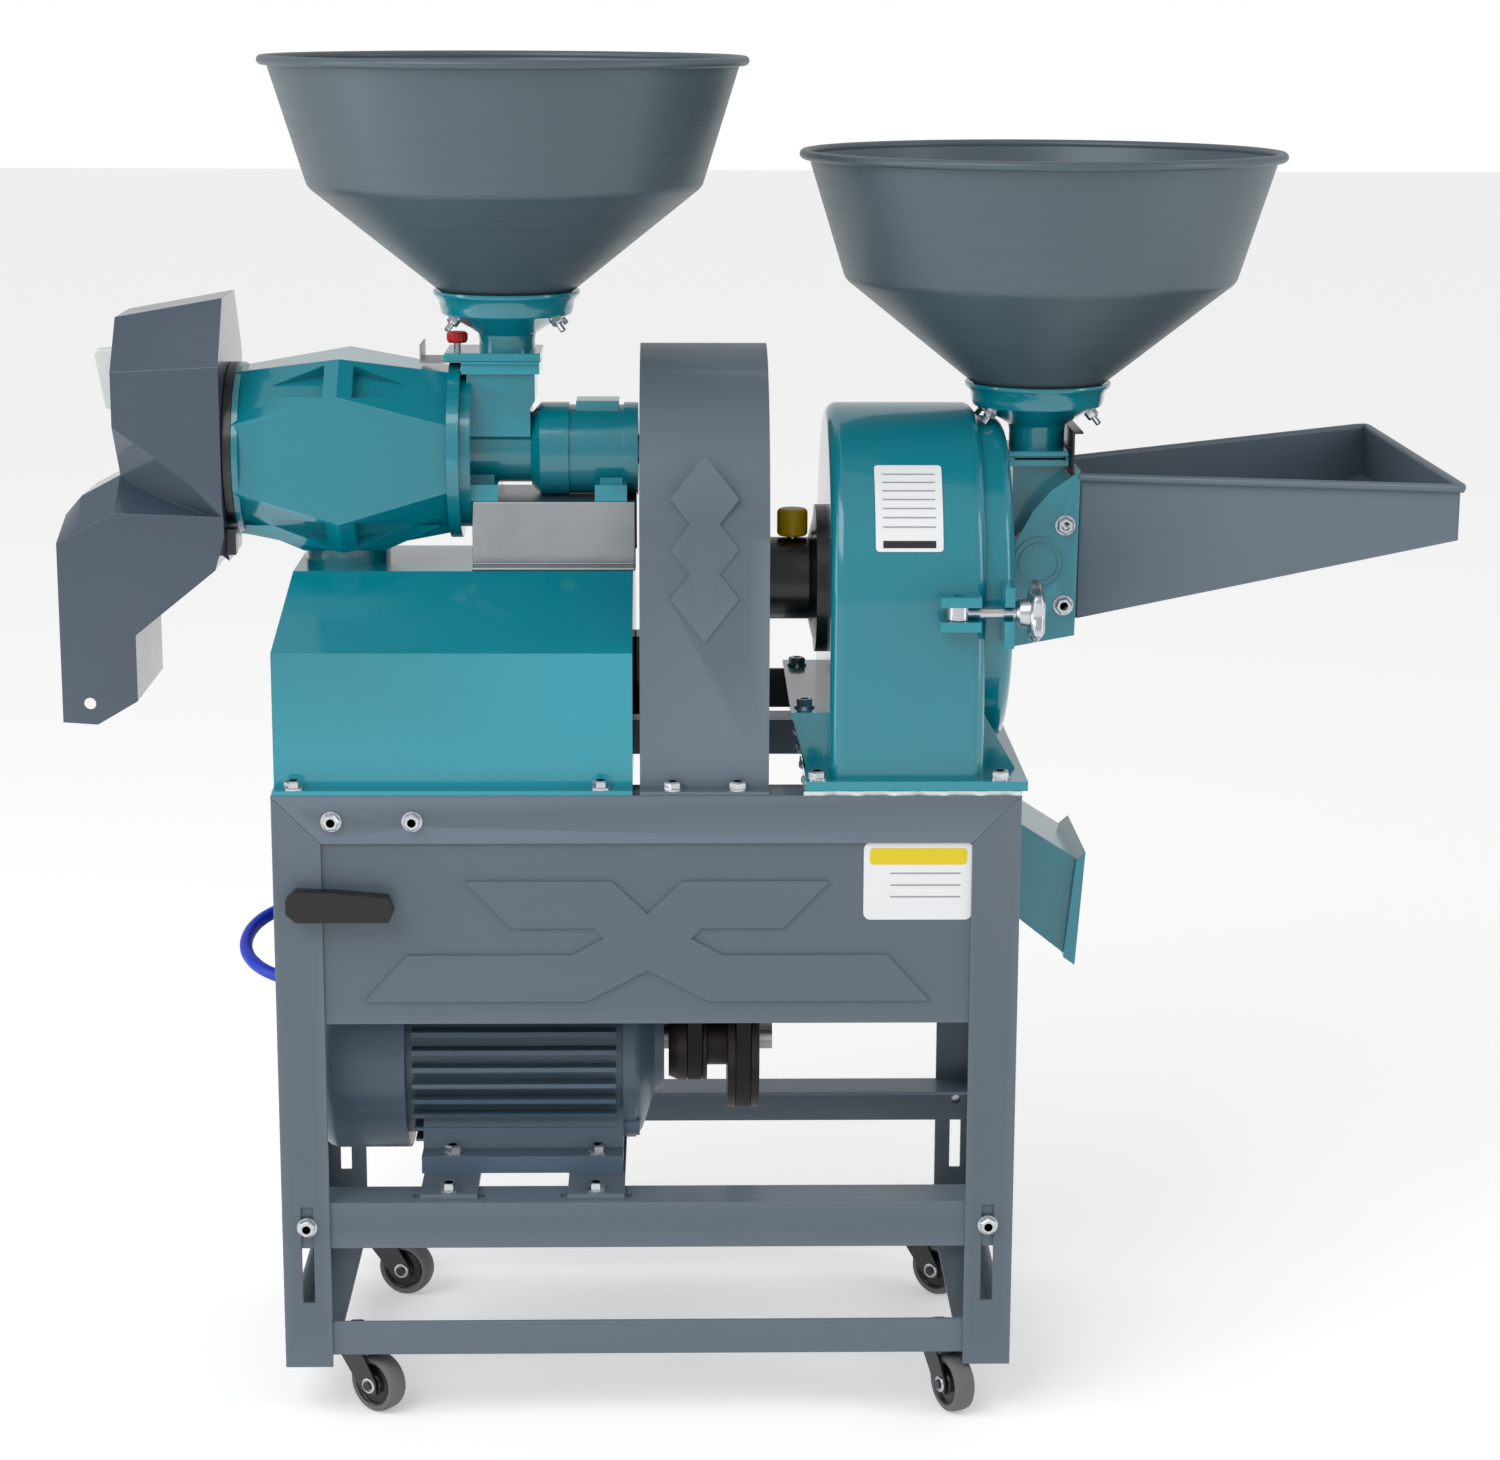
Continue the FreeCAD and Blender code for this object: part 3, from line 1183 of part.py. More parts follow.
def make_latch():
    """Quarter-turn handle, its spindle and its cam behind the panel."""
    y_out = front - 19
    px = latch_x
    pz = latch_z
    grip = [(px + 14, pz - 9), (px + 18, pz), (px + 14, pz + 12), (px - 30, pz + 16), (px - 62, pz + 17),
            (px - 70, pz + 10), (px - 70, pz - 2), (px - 62, pz - 9)]
    handle = prism_xz(grip, y_out, front - 5)
    spindle = rod(px, front - 6, pz, Y, 7.0, 18)
    cam = block(px - 52, px + 9, front + 7, front + 10, pz - 9, pz + 9)
    return fuse([handle, spindle, cam])


def make_caster_plate(x, y):
    """Fixed top plate of a caster with its stem nut."""
    z = bottom_rail_bottom + angle_wall
    sx = math.copysign(1, x)
    sy = math.copysign(1, y)
    x_out = sx * (stand_width / 2 - 2 * angle_wall - 1)
    y_out = sy * (stand_depth / 2 - 2 * angle_wall)
    x_in = x - sx * 21
    y_in = y - sy * 24
    plate = block(min(x_out, x_in), max(x_out, x_in), min(y_out, y_in), max(y_out, y_in), z, z + caster_plate_wall)
    race = rod(x, y, z - caster_race, Z, 13.5, caster_race)
    stem = rod(x, y, z - 10, Z, 5, 22)
    nut = hexagon(x, y, z + caster_plate_wall, Z, 16, 8)
    return fuse([plate, race, stem, nut])


def make_fork(x, y, angle):
    """Swivel fork with its axle, trailing along an angle."""
    top = bottom_rail_bottom + angle_wall - caster_race - 0.4
    inner = wheel_width / 2 + wheel_gap
    outer = inner + fork_wall
    crown = rod(x, y, top - 3, Z, 17, 3)
    crown = crown.fuse(block(x - 15, x + caster_trail, y - outer, y + outer, top - 3, top))
    cheeks = []
    points = [(x - 13, top - 3), (x + 17, top - 3), (x + caster_trail + 8, wheel_radius + 4),
              (x + caster_trail + 8, wheel_radius - 7), (x + caster_trail - 8, wheel_radius - 7)]
    for side in (-1, 1):
        y0 = y + side * (inner + outer) / 2 - fork_wall / 2
        cheeks.append(prism_xz(points, y0, y0 + fork_wall))
    axle = rod(x + caster_trail, y - outer - 3, wheel_radius, Y, axle_radius, 2 * outer + 6)
    body = fuse([crown] + cheeks + [axle])
    body = body.cut(rod(x, y, top - 10, Z, 5.0 + running_fit, 20))
    body.rotate(V(x, y, 0), Z, angle)
    return body


def make_wheel(x, y, angle):
    """Wheel with a rounded tread and a recessed hub."""
    h = wheel_width / 2
    r = wheel_radius
    points = [(-h, axle_radius + running_fit), (-h, 9), (-h + 3, 11), (-h + 3, 17), (-h, 19), (-h, r - 2.5),
              (-h + 4, r), (h - 4, r), (h, r - 2.5), (h, 19), (h - 3, 17), (h - 3, 11), (h, 9),
              (h, axle_radius + running_fit)]
    face = polygon_face([V(x + caster_trail, y + a, r + b) for a, b in points])
    wheel = face.revolve(V(x + caster_trail, y, r), Y, 360)
    wheel.rotate(V(x, y, 0), Z, angle)
    return wheel


# ---------------------------------------------------------------- lead
def tube_along(points, diameter):
    """Round tube of straight runs and tangent arcs through a route."""
    edges = []
    start = points[0]
    length = 0.0
    for i in range(1, len(points) - 1):
        before = points[i] - points[i - 1]
        after = points[i + 1] - points[i]
        turn = before.getAngle(after)
        cut = 0.45 * min(before.Length, after.Length)
        radius = cut / math.tan(turn / 2)
        p = points[i] - before.normalize() * cut
        q = points[i] + after.normalize() * cut
        middle = (p + q) * 0.5
        inward = (middle - points[i]).normalize()
        center = points[i] + inward * (radius / math.cos(turn / 2))
        crest = center - inward * radius
        edges.append(Part.LineSegment(start, p).toShape())
        edges.append(Part.Arc(p, crest, q).toShape())
        length += (p - start).Length + radius * turn
        print("lead turn %d: radius %.0f mm" % (i, radius))
        start = q
    edges.append(Part.LineSegment(start, points[-1]).toShape())
    length += (points[-1] - start).Length
    path = Part.Wire(edges)
    ring_wire = Part.Wire([Part.Circle(points[0], points[1] - points[0], diameter / 2).toShape()])
    solid = path.makePipeShell([ring_wire], True, False)
    expected = math.pi * diameter ** 2 / 4 * length
    print("lead length %.0f mm, volume %.0f against %.0f" % (length, solid.Volume, expected))
    return solid


moving = {"motor_rotor", "motor_pulley", "huller_shaft", "huller_pulley", "mill_rotor", "mill_pulley",
          "huller_gate", "gate_knob", "clamp_bolt", "star_handwheel", "mill_gate", "tray_gate", "latch_handle",
          "pressure_knob", "motor_lead", "drive_belts"}
lead_route = [(-150, 15, 406), (-200, 15, 406), (-252, 19, 409), (-302, 17, 407), (-339, -15, 400),
              (-348, -60, 387), (-327, -102, 378), (-285, -123, 373), (-249, -133, 391), (-226, -141, 432),
              (-225, -141.5, 480)]


def build():
    top_rails = make_top_rails()
    add("top_rails", top_rails)
    add("legs", *make_legs(top_rails))
    add("bottom_rails", *make_bottom_rails())
    add("motor_rails", *make_motor_rails())
    add("motor_rails", *make_crossbars())
    add("front_panel", make_front_panel())
    add("junction_box", make_junction_box())
    add("motor_lead", tube_along([V(*p) for p in lead_route], lead_diameter))
    add("belt_guard", make_belt_guard())
    add("guard_stays", *make_guard_stays())
    add("huller_box", make_huller_box())
    add("huller_bracket", make_huller_bracket())
    add("huller_feed_housing", make_feed_housing())
    add("huller_bearing_housing", make_bearing_housing())
    add("huller_barrel", make_barrel())
    add("sieves", make_screen())
    add("discharge_collar", make_collar())
    add("discharge_hood", make_hood())
    add("pressure_plate", make_pressure_plate())
    neck = make_neck(huller_feed_x, huller_hopper_throat_z, feed_box_top + gate_slot,
                     huller_feed_x - 51, huller_feed_x + 29, 7)
    add("hopper_necks", neck.cut(rod(huller_feed_x - 42, 0, 800, Z, 3.3, 200)))
    add("hopper_necks", make_neck(mill_feed_x, mill_hopper_throat_z, mill_neck_bottom, 303, 354, 5))
    add("gate_guides", *make_gate_guides())
    add("gate_guides", *make_mill_gate_guides())
    add("huller_hopper", make_hopper(huller_feed_x, huller_hopper_throat_z))
    add("mill_hopper", make_hopper(mill_feed_x, mill_hopper_throat_z))
    add("mill_pedestal", make_pedestal())
    add("mill_pedestal", make_mill_foot())
    add("mill_gasket", make_gasket())
    add("mill_casing", make_casing())
    add("mill_door", make_door())
    add("fixed_tooth_disc", make_fixed_disc())
    add("sieves", make_ring_sieve())
    add("mill_bearing_housing", make_mill_bearing_housing())
    add("mill_bearing_housing", make_grease_cup())
    add("mill_feed_box", make_feed_box())
    add("feed_tray", make_tray())
    add("mill_outlet_chute", make_chute())
    add("motor_housing", make_motor_housing())
    add("motor_housing", make_motor_shield(), make_motor_back_shield())
    add("motor_fan_cover", make_fan_cover())
    add("terminal_box", make_terminal_box(), make_terminal_gland())
    add("ball_bearings", *make_bearings())
    add("drive_belts", make_belt(huller_belt_x, motor_axis_z, motor_small_radius, huller_axis_z, huller_pulley_radius),
        make_belt(mill_belt_x, motor_axis_z, motor_large_radius, mill_axis_z, mill_pulley_radius))
    add("motor_rotor", make_motor_rotor())
    add("motor_rotor", make_cooling_fan())
    add("motor_pulley", make_motor_pulley())
    add("huller_shaft", make_huller_shaft())
    add("huller_pulley", make_plain_pulley(huller_belt_x, huller_axis_z, huller_pulley_radius, huller_shaft_radius, 22, True))
    add("mill_rotor", make_mill_rotor())
    add("mill_pulley", make_plain_pulley(mill_belt_x, mill_axis_z, mill_pulley_radius, mill_shaft_radius, 16, False))
    add("huller_gate", make_huller_gate())
    add("gate_knob", make_gate_knob())
    add("clamp_bolt", make_clamp_bolt())
    add("star_handwheel", make_handwheel())
    add("mill_gate", make_mill_gate())
    add("tray_gate", make_tray_gate())
    add("latch_handle", make_latch())
    add("pressure_knob", make_pressure_knob())
    trails = {"front_left": (-1, -1, -38), "front_right": (1, -1, -65), "rear_left": (-1, 1, -20), "rear_right": (1, 1, -40)}
    for name, (sx, sy, angle) in trails.items():
        x = sx * caster_x
        y = sy * caster_y
        add("caster_plates", make_caster_plate(x, y))
        add("caster_fork_" + name, make_fork(x, y, angle))
        add("caster_wheel_" + name, make_wheel(x, y, angle))
    pin_y = -casing_radius - 14
    add("bolts", rod(252, pin_y, mill_axis_z - 20, Z, 4.0, 38))
    slot_x = stand_width / 2 - leg_slot_inset
    for x in (-slot_x, slot_x):
        for side in (-1, 1):
            bolt("bolts", x, side * stand_depth / 2, motor_rail_top - angle_width / 2, Y * side, 8.0, 2 * angle_wall)
    place_fasteners()


def place_fasteners():
    """Makes every bolt and the clearance holes in what it passes through."""
    drilled = [name for name in nodes if name not in moving]
    for group, seat, out, size, grip, nut in fasteners:
        reach = grip + (0.8 * size + 2.0 if nut else 0.0) + 1.0
        hole = rod(seat.x, seat.y, seat.z, out * -1, size / 2 + 0.3, reach)
        room = hole.BoundBox
        for name in drilled:
            nodes[name] = [s.cut(hole).Solids[0] if s.BoundBox.intersect(room) and s.common(hole).Volume > 0.01 else s
                           for s in nodes[name]]
    for group, seat, out, size, grip, nut in fasteners:
        add(group, bolt_solid(seat, out, size, grip, nut))


def save():
    os.makedirs("parts", exist_ok=True)
    total = 0
    for name, solids in nodes.items():
        shape = Part.makeCompound(solids)
        shape.translate(V(-origin_x, 0, 0))
        total += len(solids)
        print("%-28s %2d solids %s" % (name, len(solids), shape.isValid()))
        shape.exportStep("parts/%s.step" % name)
    print("%d nodes, %d solids, origin at %.1f from the stand" % (len(nodes), total, origin_x))


build()
save()
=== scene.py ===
"""Rice huller and disc mill on a wheeled stand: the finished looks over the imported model.

Laid out as an add-on: each piece, or group of like pieces, has an operator that makes it.
Lengths inside the makers are millimetres, measured from the middle of the stand and the floor;
TO_ROW turns them into the row frame's metres.
"""
import json
import math

import bmesh
import bpy
from bpy.props import FloatProperty, FloatVectorProperty, IntProperty, PointerProperty, StringProperty
from mathutils import Matrix, Vector

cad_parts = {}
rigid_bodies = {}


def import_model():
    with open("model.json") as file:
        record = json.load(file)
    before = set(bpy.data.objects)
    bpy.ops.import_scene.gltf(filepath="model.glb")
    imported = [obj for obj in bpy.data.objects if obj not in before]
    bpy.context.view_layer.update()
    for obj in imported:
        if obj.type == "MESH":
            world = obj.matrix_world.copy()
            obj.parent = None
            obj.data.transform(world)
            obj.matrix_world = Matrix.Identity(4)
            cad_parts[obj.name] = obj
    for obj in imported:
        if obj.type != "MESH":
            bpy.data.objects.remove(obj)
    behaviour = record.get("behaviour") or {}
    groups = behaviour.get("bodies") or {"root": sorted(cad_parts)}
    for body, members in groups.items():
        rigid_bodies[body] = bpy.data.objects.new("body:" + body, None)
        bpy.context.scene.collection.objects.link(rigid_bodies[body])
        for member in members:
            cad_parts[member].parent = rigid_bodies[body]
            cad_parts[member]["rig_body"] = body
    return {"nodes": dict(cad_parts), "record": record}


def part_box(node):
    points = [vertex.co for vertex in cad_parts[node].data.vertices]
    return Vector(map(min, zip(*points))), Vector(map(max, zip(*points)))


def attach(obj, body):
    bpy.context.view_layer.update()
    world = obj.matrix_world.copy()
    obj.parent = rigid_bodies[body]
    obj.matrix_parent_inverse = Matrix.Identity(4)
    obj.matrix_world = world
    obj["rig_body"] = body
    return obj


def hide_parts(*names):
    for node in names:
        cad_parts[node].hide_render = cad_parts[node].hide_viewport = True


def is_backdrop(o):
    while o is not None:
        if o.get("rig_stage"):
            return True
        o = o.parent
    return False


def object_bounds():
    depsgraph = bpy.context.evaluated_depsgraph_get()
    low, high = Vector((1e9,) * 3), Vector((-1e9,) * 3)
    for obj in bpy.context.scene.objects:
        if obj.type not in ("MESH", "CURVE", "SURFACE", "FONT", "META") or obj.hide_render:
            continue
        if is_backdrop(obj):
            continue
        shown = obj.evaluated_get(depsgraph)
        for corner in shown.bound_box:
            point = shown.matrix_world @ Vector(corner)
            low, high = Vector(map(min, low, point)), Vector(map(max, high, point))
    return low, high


bl_info = {
    "name": "Rice huller",
    "version": (1, 0, 0),
    "blender": (4, 5, 0),
    "location": "3D View > Sidebar > Rice huller",
    "description": "Makes a rice huller and disc mill with its stand, motor and hoppers",
    "category": "Object",
}

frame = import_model()
cad_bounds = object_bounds()

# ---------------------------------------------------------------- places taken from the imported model
deck_low, deck_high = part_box("top_rails")
STAND_X = (deck_low.x + deck_high.x) / 2
TO_ROW = Matrix.Translation((STAND_X, 0, 0)) @ Matrix.Scale(0.001, 4)
FROM_ROW = TO_ROW.inverted()
SLOT_OF = {part["node"]: part["material_slot"] for part in frame["record"]["subparts"]}


def extent(node):
    """A CAD node's corners in millimetres from the stand's middle."""
    low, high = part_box(node)
    return FROM_ROW @ low, FROM_ROW @ high


MILL_AXIS_Z = 697.0
HULLER_FEED_X = -118.0
MILL_FEED_X = 330.0
HULLER_THROAT_Z = 939.0
MILL_THROAT_Z = 863.0
HULLER_NECK_Z = 885.2
MILL_NECK_Z = 806.0
CASTER_X = 250.0
CASTER_Y = 128.0
WASHER_THICKNESS = 0.0016    # metres, as the node tree works in them
DECK = extent("top_rails")[1].z


# ---------------------------------------------------------------- settings
class StageSettings(bpy.types.PropertyGroup):
    """Camera, lamps and floor."""
    eye: FloatVectorProperty(
        name="Camera place", description="Where the camera stands", subtype="TRANSLATION", unit="LENGTH",
        default=(STAND_X + 0.0228, -2.8061, 1.1877))
    pitch: FloatProperty(name="Pitch", description="How far the camera looks down", subtype="ANGLE",
                         default=math.radians(12.5383))
    yaw: FloatProperty(name="Yaw", description="How far the camera turns to the right", subtype="ANGLE",
                       default=math.radians(1.324))
    roll: FloatProperty(name="Roll", description="How far the camera leans", subtype="ANGLE",
                        default=math.radians(0.2422))
    lens: FloatProperty(name="Lens", description="Focal length in millimetres on a 36 mm sensor",
                        default=79.82)
    key_power: FloatProperty(name="Key lamp", description="Power of the large lamp", unit="POWER",
                             default=52.0)
    strip_power: FloatProperty(name="Strip lamps", description="Power of each strip lamp", unit="POWER",
                               default=11.0)
    sky: FloatProperty(name="Sky", description="Strength of the even light all round", default=0.62)


class FinishSettings(bpy.types.PropertyGroup):
    """Colours of the finishes."""
    slate: StringProperty(name="Slate enamel", description="Stand, panel, guard and tray", default="#5A6772")
    hammered: StringProperty(name="Hopper enamel", description="Both hoppers", default="#56656D")
    teal: StringProperty(name="Teal enamel", description="Castings, casing and box", default="#008090")
    hood: StringProperty(name="Hood enamel", description="Discharge hood", default="#3B4A5A")
    motor: StringProperty(name="Motor enamel", description="Motor castings", default="#4C6070")
    black: StringProperty(name="Black enamel", description="Bearing housing and casters", default="#15171A")
    grease_cap: StringProperty(name="Grease cap", description="Cap of the grease cup", default="#D6AE00")
    lead: StringProperty(name="Lead", description="Sheath of the motor lead", default="#0A2FBF")


class ShapeSettings(bpy.types.PropertyGroup):
    """Sizes that a user may change."""
    round_steps: IntProperty(name="Steps", description="Sides of a large turned piece", default=144, min=24)
    hopper_bead: FloatProperty(name="Rim bead", description="Radius of a hopper's rolled rim", unit="LENGTH",
                               default=0.004)
    lead_diameter: FloatProperty(name="Lead", description="Diameter of the motor lead", unit="LENGTH",
                                 default=0.011)


# ---------------------------------------------------------------- materials
def srgb(text):
    """Hex colour as linear red, green, blue and alpha."""
    parts = [int(text[i:i + 2], 16) / 255 for i in (1, 3, 5)]
    return tuple([c / 12.92 if c <= 0.04045 else ((c + 0.055) / 1.055) ** 2.4 for c in parts] + [1.0])


def shade(colour, factor):
    """A colour made darker or lighter."""
    return tuple([min(1.0, c * factor) for c in colour[:3]] + [1.0])


def node(tree, kind, inputs=None, **settings):
    """Adds a node with its settings; an input takes a value or another node's output."""
    made = tree.nodes.new(kind)
    for key, value in settings.items():
        setattr(made, key, value)
    for key, value in (inputs or {}).items():
        if isinstance(value, bpy.types.NodeSocket):
            tree.links.new(value, made.inputs[key])
        else:
            made.inputs[key].default_value = value
    return made


def blank_material(name):
    """New material with its tree and object coordinates."""
    made = bpy.data.materials.new(name)
    made.use_nodes = True
    made.node_tree.nodes.clear()
    return made, made.node_tree, node(made.node_tree, "ShaderNodeTexCoord").outputs["Object"]


def finish_material(tree, shader):
    node(tree, "ShaderNodeOutputMaterial", {"Surface": shader.outputs[0]})


def enamel(name, colour, roughness, coat, peel_mm, peel_depth, mottle, edge_highlight_strength):
    """Sprayed enamel: orange peel, slow changes of tone, uneven gloss, and a painted highlight that makes
    convex edges paler.
    """
    made, tree, place = blank_material(name)
    base = srgb(colour)
    peel = node(tree, "ShaderNodeTexNoise", {"Vector": place, "Scale": 1000 / peel_mm, "Detail": 2.0})
    bump = node(tree, "ShaderNodeBump", {"Height": peel.outputs["Fac"], "Distance": peel_depth * 0.001,
                                         "Strength": 1.0})
    cloud = node(tree, "ShaderNodeTexNoise", {"Vector": place, "Scale": 7.0, "Detail": 5.0, "Roughness": 0.6})
    tone = node(tree, "ShaderNodeMix", {"Factor": cloud.outputs["Fac"], "A": shade(base, 1 - mottle),
                                        "B": shade(base, 1 + mottle)}, data_type="RGBA")
    # Painted highlight: where pointiness marks a convex edge, the colour is mixed towards a much paler one.
    edge = node(tree, "ShaderNodeMapRange", {"Value": node(tree,
                                                           "ShaderNodeNewGeometry").outputs["Pointiness"],
                                             "From Min": 0.53, "From Max": 0.62, "To Max": edge_highlight_strength})
    tone_with_edge_highlight = node(tree, "ShaderNodeMix", {"Factor": edge.outputs[0], "A": tone.outputs["Result"],
                                        "B": shade(base, 2.2)}, data_type="RGBA")
    gloss = node(tree, "ShaderNodeMapRange", {"Value": cloud.outputs["Fac"], "From Min": 0.3, "From Max": 0.7,
                                              "To Min": roughness - 0.04, "To Max": roughness + 0.05})
    shader = node(tree, "ShaderNodeBsdfPrincipled", {
        "Base Color": tone_with_edge_highlight.outputs["Result"], "Roughness": gloss.outputs[0], "Normal": bump.outputs[0],
        "IOR": 1.5, "Coat Weight": coat, "Coat Roughness": 0.06, "Coat IOR": 1.5})
    finish_material(tree, shader)
    return made


def brushed_enamel(name, colour):
    """Hopper enamel over spun steel: fine rings of the spinning show through a satin coat."""
    made, tree, place = blank_material(name)
    base = srgb(colour)
    ringed = node(tree, "ShaderNodeMapping", {"Vector": place, "Scale": (5.0, 5.0, 420.0)})
    rings = node(tree, "ShaderNodeTexNoise", {"Vector": ringed.outputs[0], "Scale": 1.0, "Detail": 4.0})
    cloud = node(tree, "ShaderNodeTexNoise", {"Vector": place, "Scale": 5.0, "Detail": 4.0})
    tone = node(tree, "ShaderNodeMix", {"Factor": rings.outputs["Fac"], "A": shade(base, 0.80),
                                        "B": shade(base, 1.22)}, data_type="RGBA")
    tone2 = node(tree, "ShaderNodeMix", {"Factor": cloud.outputs["Fac"], "A": tone.outputs["Result"],
                                         "B": shade(base, 0.88)}, data_type="RGBA")
    bump = node(tree, "ShaderNodeBump", {"Height": rings.outputs["Fac"], "Distance": 0.00012,
                                         "Strength": 0.7})
    gloss = node(tree, "ShaderNodeMapRange", {"Value": rings.outputs["Fac"], "To Min": 0.34, "To Max": 0.52})
    shader = node(tree, "ShaderNodeBsdfPrincipled", {
        "Base Color": tone2.outputs["Result"], "Roughness": gloss.outputs[0], "Normal": bump.outputs[0],
        "Metallic": 0.25, "Coat Weight": 0.12, "Coat Roughness": 0.25})
    finish_material(tree, shader)
    return made


def bare_metal(name, colour, roughness, grain_mm, stretch, depth):
    """Turned, rolled or plated metal: grain stretched along one axis, with dull and bright patches."""
    made, tree, place = blank_material(name)
    base = srgb(colour)
    laid = node(tree, "ShaderNodeMapping", {"Vector": place,
                                            "Scale": tuple(1000 / grain_mm / s for s in stretch)})
    grain = node(tree, "ShaderNodeTexNoise", {"Vector": laid.outputs[0], "Scale": 1.0, "Detail": 3.0})
    cloud = node(tree, "ShaderNodeTexNoise", {"Vector": place, "Scale": 30.0, "Detail": 4.0})
    tone = node(tree, "ShaderNodeMix", {"Factor": cloud.outputs["Fac"], "A": shade(base, 0.78),
                                        "B": shade(base, 1.12)}, data_type="RGBA")
    bump = node(tree, "ShaderNodeBump", {"Height": grain.outputs["Fac"], "Distance": depth * 0.001,
                                         "Strength": 0.8})
    gloss = node(tree, "ShaderNodeMapRange", {"Value": grain.outputs["Fac"], "To Min": roughness - 0.08,
                                              "To Max": roughness + 0.12})
    shader = node(tree, "ShaderNodeBsdfPrincipled", {
        "Base Color": tone.outputs["Result"], "Roughness": gloss.outputs[0], "Normal": bump.outputs[0],
        "Metallic": 1.0})
    finish_material(tree, shader)
    return made


def moulding(name, colour, roughness, grain_mm, depth, speckle=0.05):
    """Moulded plastic or rubber: fine spark grain and slight changes of tone."""
    made, tree, place = blank_material(name)
    base = srgb(colour)
    grain = node(tree, "ShaderNodeTexNoise", {"Vector": place, "Scale": 1000 / grain_mm, "Detail": 3.0})
    cloud = node(tree, "ShaderNodeTexNoise", {"Vector": place, "Scale": 40.0, "Detail": 3.0})
    tone = node(tree, "ShaderNodeMix", {"Factor": cloud.outputs["Fac"], "A": shade(base, 1 - speckle),
                                        "B": shade(base, 1 + speckle)}, data_type="RGBA")
    bump = node(tree, "ShaderNodeBump", {"Height": grain.outputs["Fac"], "Distance": depth * 0.001,
                                         "Strength": 0.7})
    gloss = node(tree, "ShaderNodeMapRange", {"Value": grain.outputs["Fac"], "To Min": roughness - 0.05,
                                              "To Max": roughness + 0.08})
    shader = node(tree, "ShaderNodeBsdfPrincipled", {
        "Base Color": tone.outputs["Result"], "Roughness": gloss.outputs[0], "Normal": bump.outputs[0],
        "IOR": 1.49})
    finish_material(tree, shader)
    return made


MATERIALS = {}


def make_materials(finish):
    """One material for each slot of the record, and those of the small trim."""
    MATERIALS.update({
        # The last number of each enamel is the strength of its painted highlight on convex edges.
        # Powder coat on hot-rolled angle and sheet: satin, slightly pebbled.
        "slate_enamel": enamel("slate_powder_coat", finish.slate, 0.42, 0.10, 2.2, 0.035, 0.07, 0.30),
        # Spun steel hoppers under a thin metallic grey coat.
        "hammered_slate": brushed_enamel("spun_hopper_enamel", finish.hammered),
        # Gloss enamel on folded sheet: nearly flat, sharp reflections.
        "teal_enamel": enamel("gloss_teal_on_sheet", finish.teal, 0.22, 0.75, 6.0, 0.03, 0.05, 0.35),
        # The same enamel over sand castings: wavy reflections.
        "teal_casting": enamel("gloss_teal_on_casting", finish.teal, 0.20, 0.85, 4.5, 0.10, 0.06, 0.35),
        "hood_enamel": enamel("gloss_slate_on_hood", finish.hood, 0.24, 0.65, 7.0, 0.03, 0.06, 0.40),
        # Motor enamel over aluminium castings.
        "motor_casting": enamel("motor_enamel", finish.motor, 0.38, 0.20, 2.5, 0.06, 0.07, 0.45),
        "black_casting": enamel("black_enamel_on_casting", finish.black, 0.34, 0.30, 3.0, 0.08, 0.12, 0.25),
        # Cast iron pulleys, turned on their rims and oiled.
        "bare_iron": bare_metal("turned_cast_iron", "#3B3836", 0.42, 0.5, (1, 12, 12), 0.02),
        "bright_steel": bare_metal("turned_steel", "#A9ABAD", 0.30, 0.4, (1, 10, 10), 0.01),
        # Stainless sheet with the grain of its rolling along X.
        "stainless_sheet": bare_metal("rolled_stainless_sheet", "#A4A8AC", 0.36, 0.6, (60, 1, 1), 0.008),
        # Zinc plate with a faint blue bloom.
        "zinc_steel": bare_metal("zinc_plated_steel", "#C9CDD2", 0.26, 1.5, (1, 1, 1), 0.015),
        "black_moulding": moulding("black_moulded_nylon", "#0C0C0E", 0.28, 0.8, 0.01),
        "pale_moulding": moulding("pale_moulded_plastic", "#DCE0DC", 0.35, 1.0, 0.01),
        "red_moulding": moulding("red_moulded_plastic", "#C8141A", 0.30, 1.0, 0.01),
        # Wrapped V belt: cotton cover over rubber.
        "belt_rubber": moulding("wrapped_belt_rubber", "#141414", 0.72, 0.7, 0.05, 0.2),
        "wheel_rubber": moulding("grey_tread_rubber", "#6A6A6C", 0.62, 1.6, 0.06, 0.22),
        "white_gasket": moulding("white_sheet_rubber", "#DDE2E0", 0.55, 2.0, 0.02),
        "blue_sheath": moulding("blue_extruded_sheath", finish.lead, 0.40, 1.2, 0.01),
        "yellow_cap": moulding("yellow_moulded_cap", finish.grease_cap, 0.38, 0.9, 0.01),
        "white_card": moulding("white_printed_film", "#EDEFF0", 0.40, 2.0, 0.004, 0.02),
        "grey_ink": moulding("grey_printed_ink", "#9AA0A4", 0.45, 2.0, 0.002, 0.05),
        "dark_ink": moulding("dark_printed_ink", "#1B1D1F", 0.42, 2.0, 0.002, 0.05),
        "yellow_ink": moulding("yellow_printed_ink", "#E6CE1E", 0.40, 2.0, 0.002, 0.03),
        "black_wheel": moulding("black_wheel_core", "#101012", 0.30, 1.0, 0.01),
    })


# ---------------------------------------------------------------- mesh tools, in millimetres
AXES = {"X": (Vector((0, 1, 0)), Vector((0, 0, 1)), Vector((1, 0, 0))),
        "Y": (Vector((0, 0, 1)), Vector((1, 0, 0)), Vector((0, 1, 0))),
        "Z": (Vector((1, 0, 0)), Vector((0, 1, 0)), Vector((0, 0, 1)))}


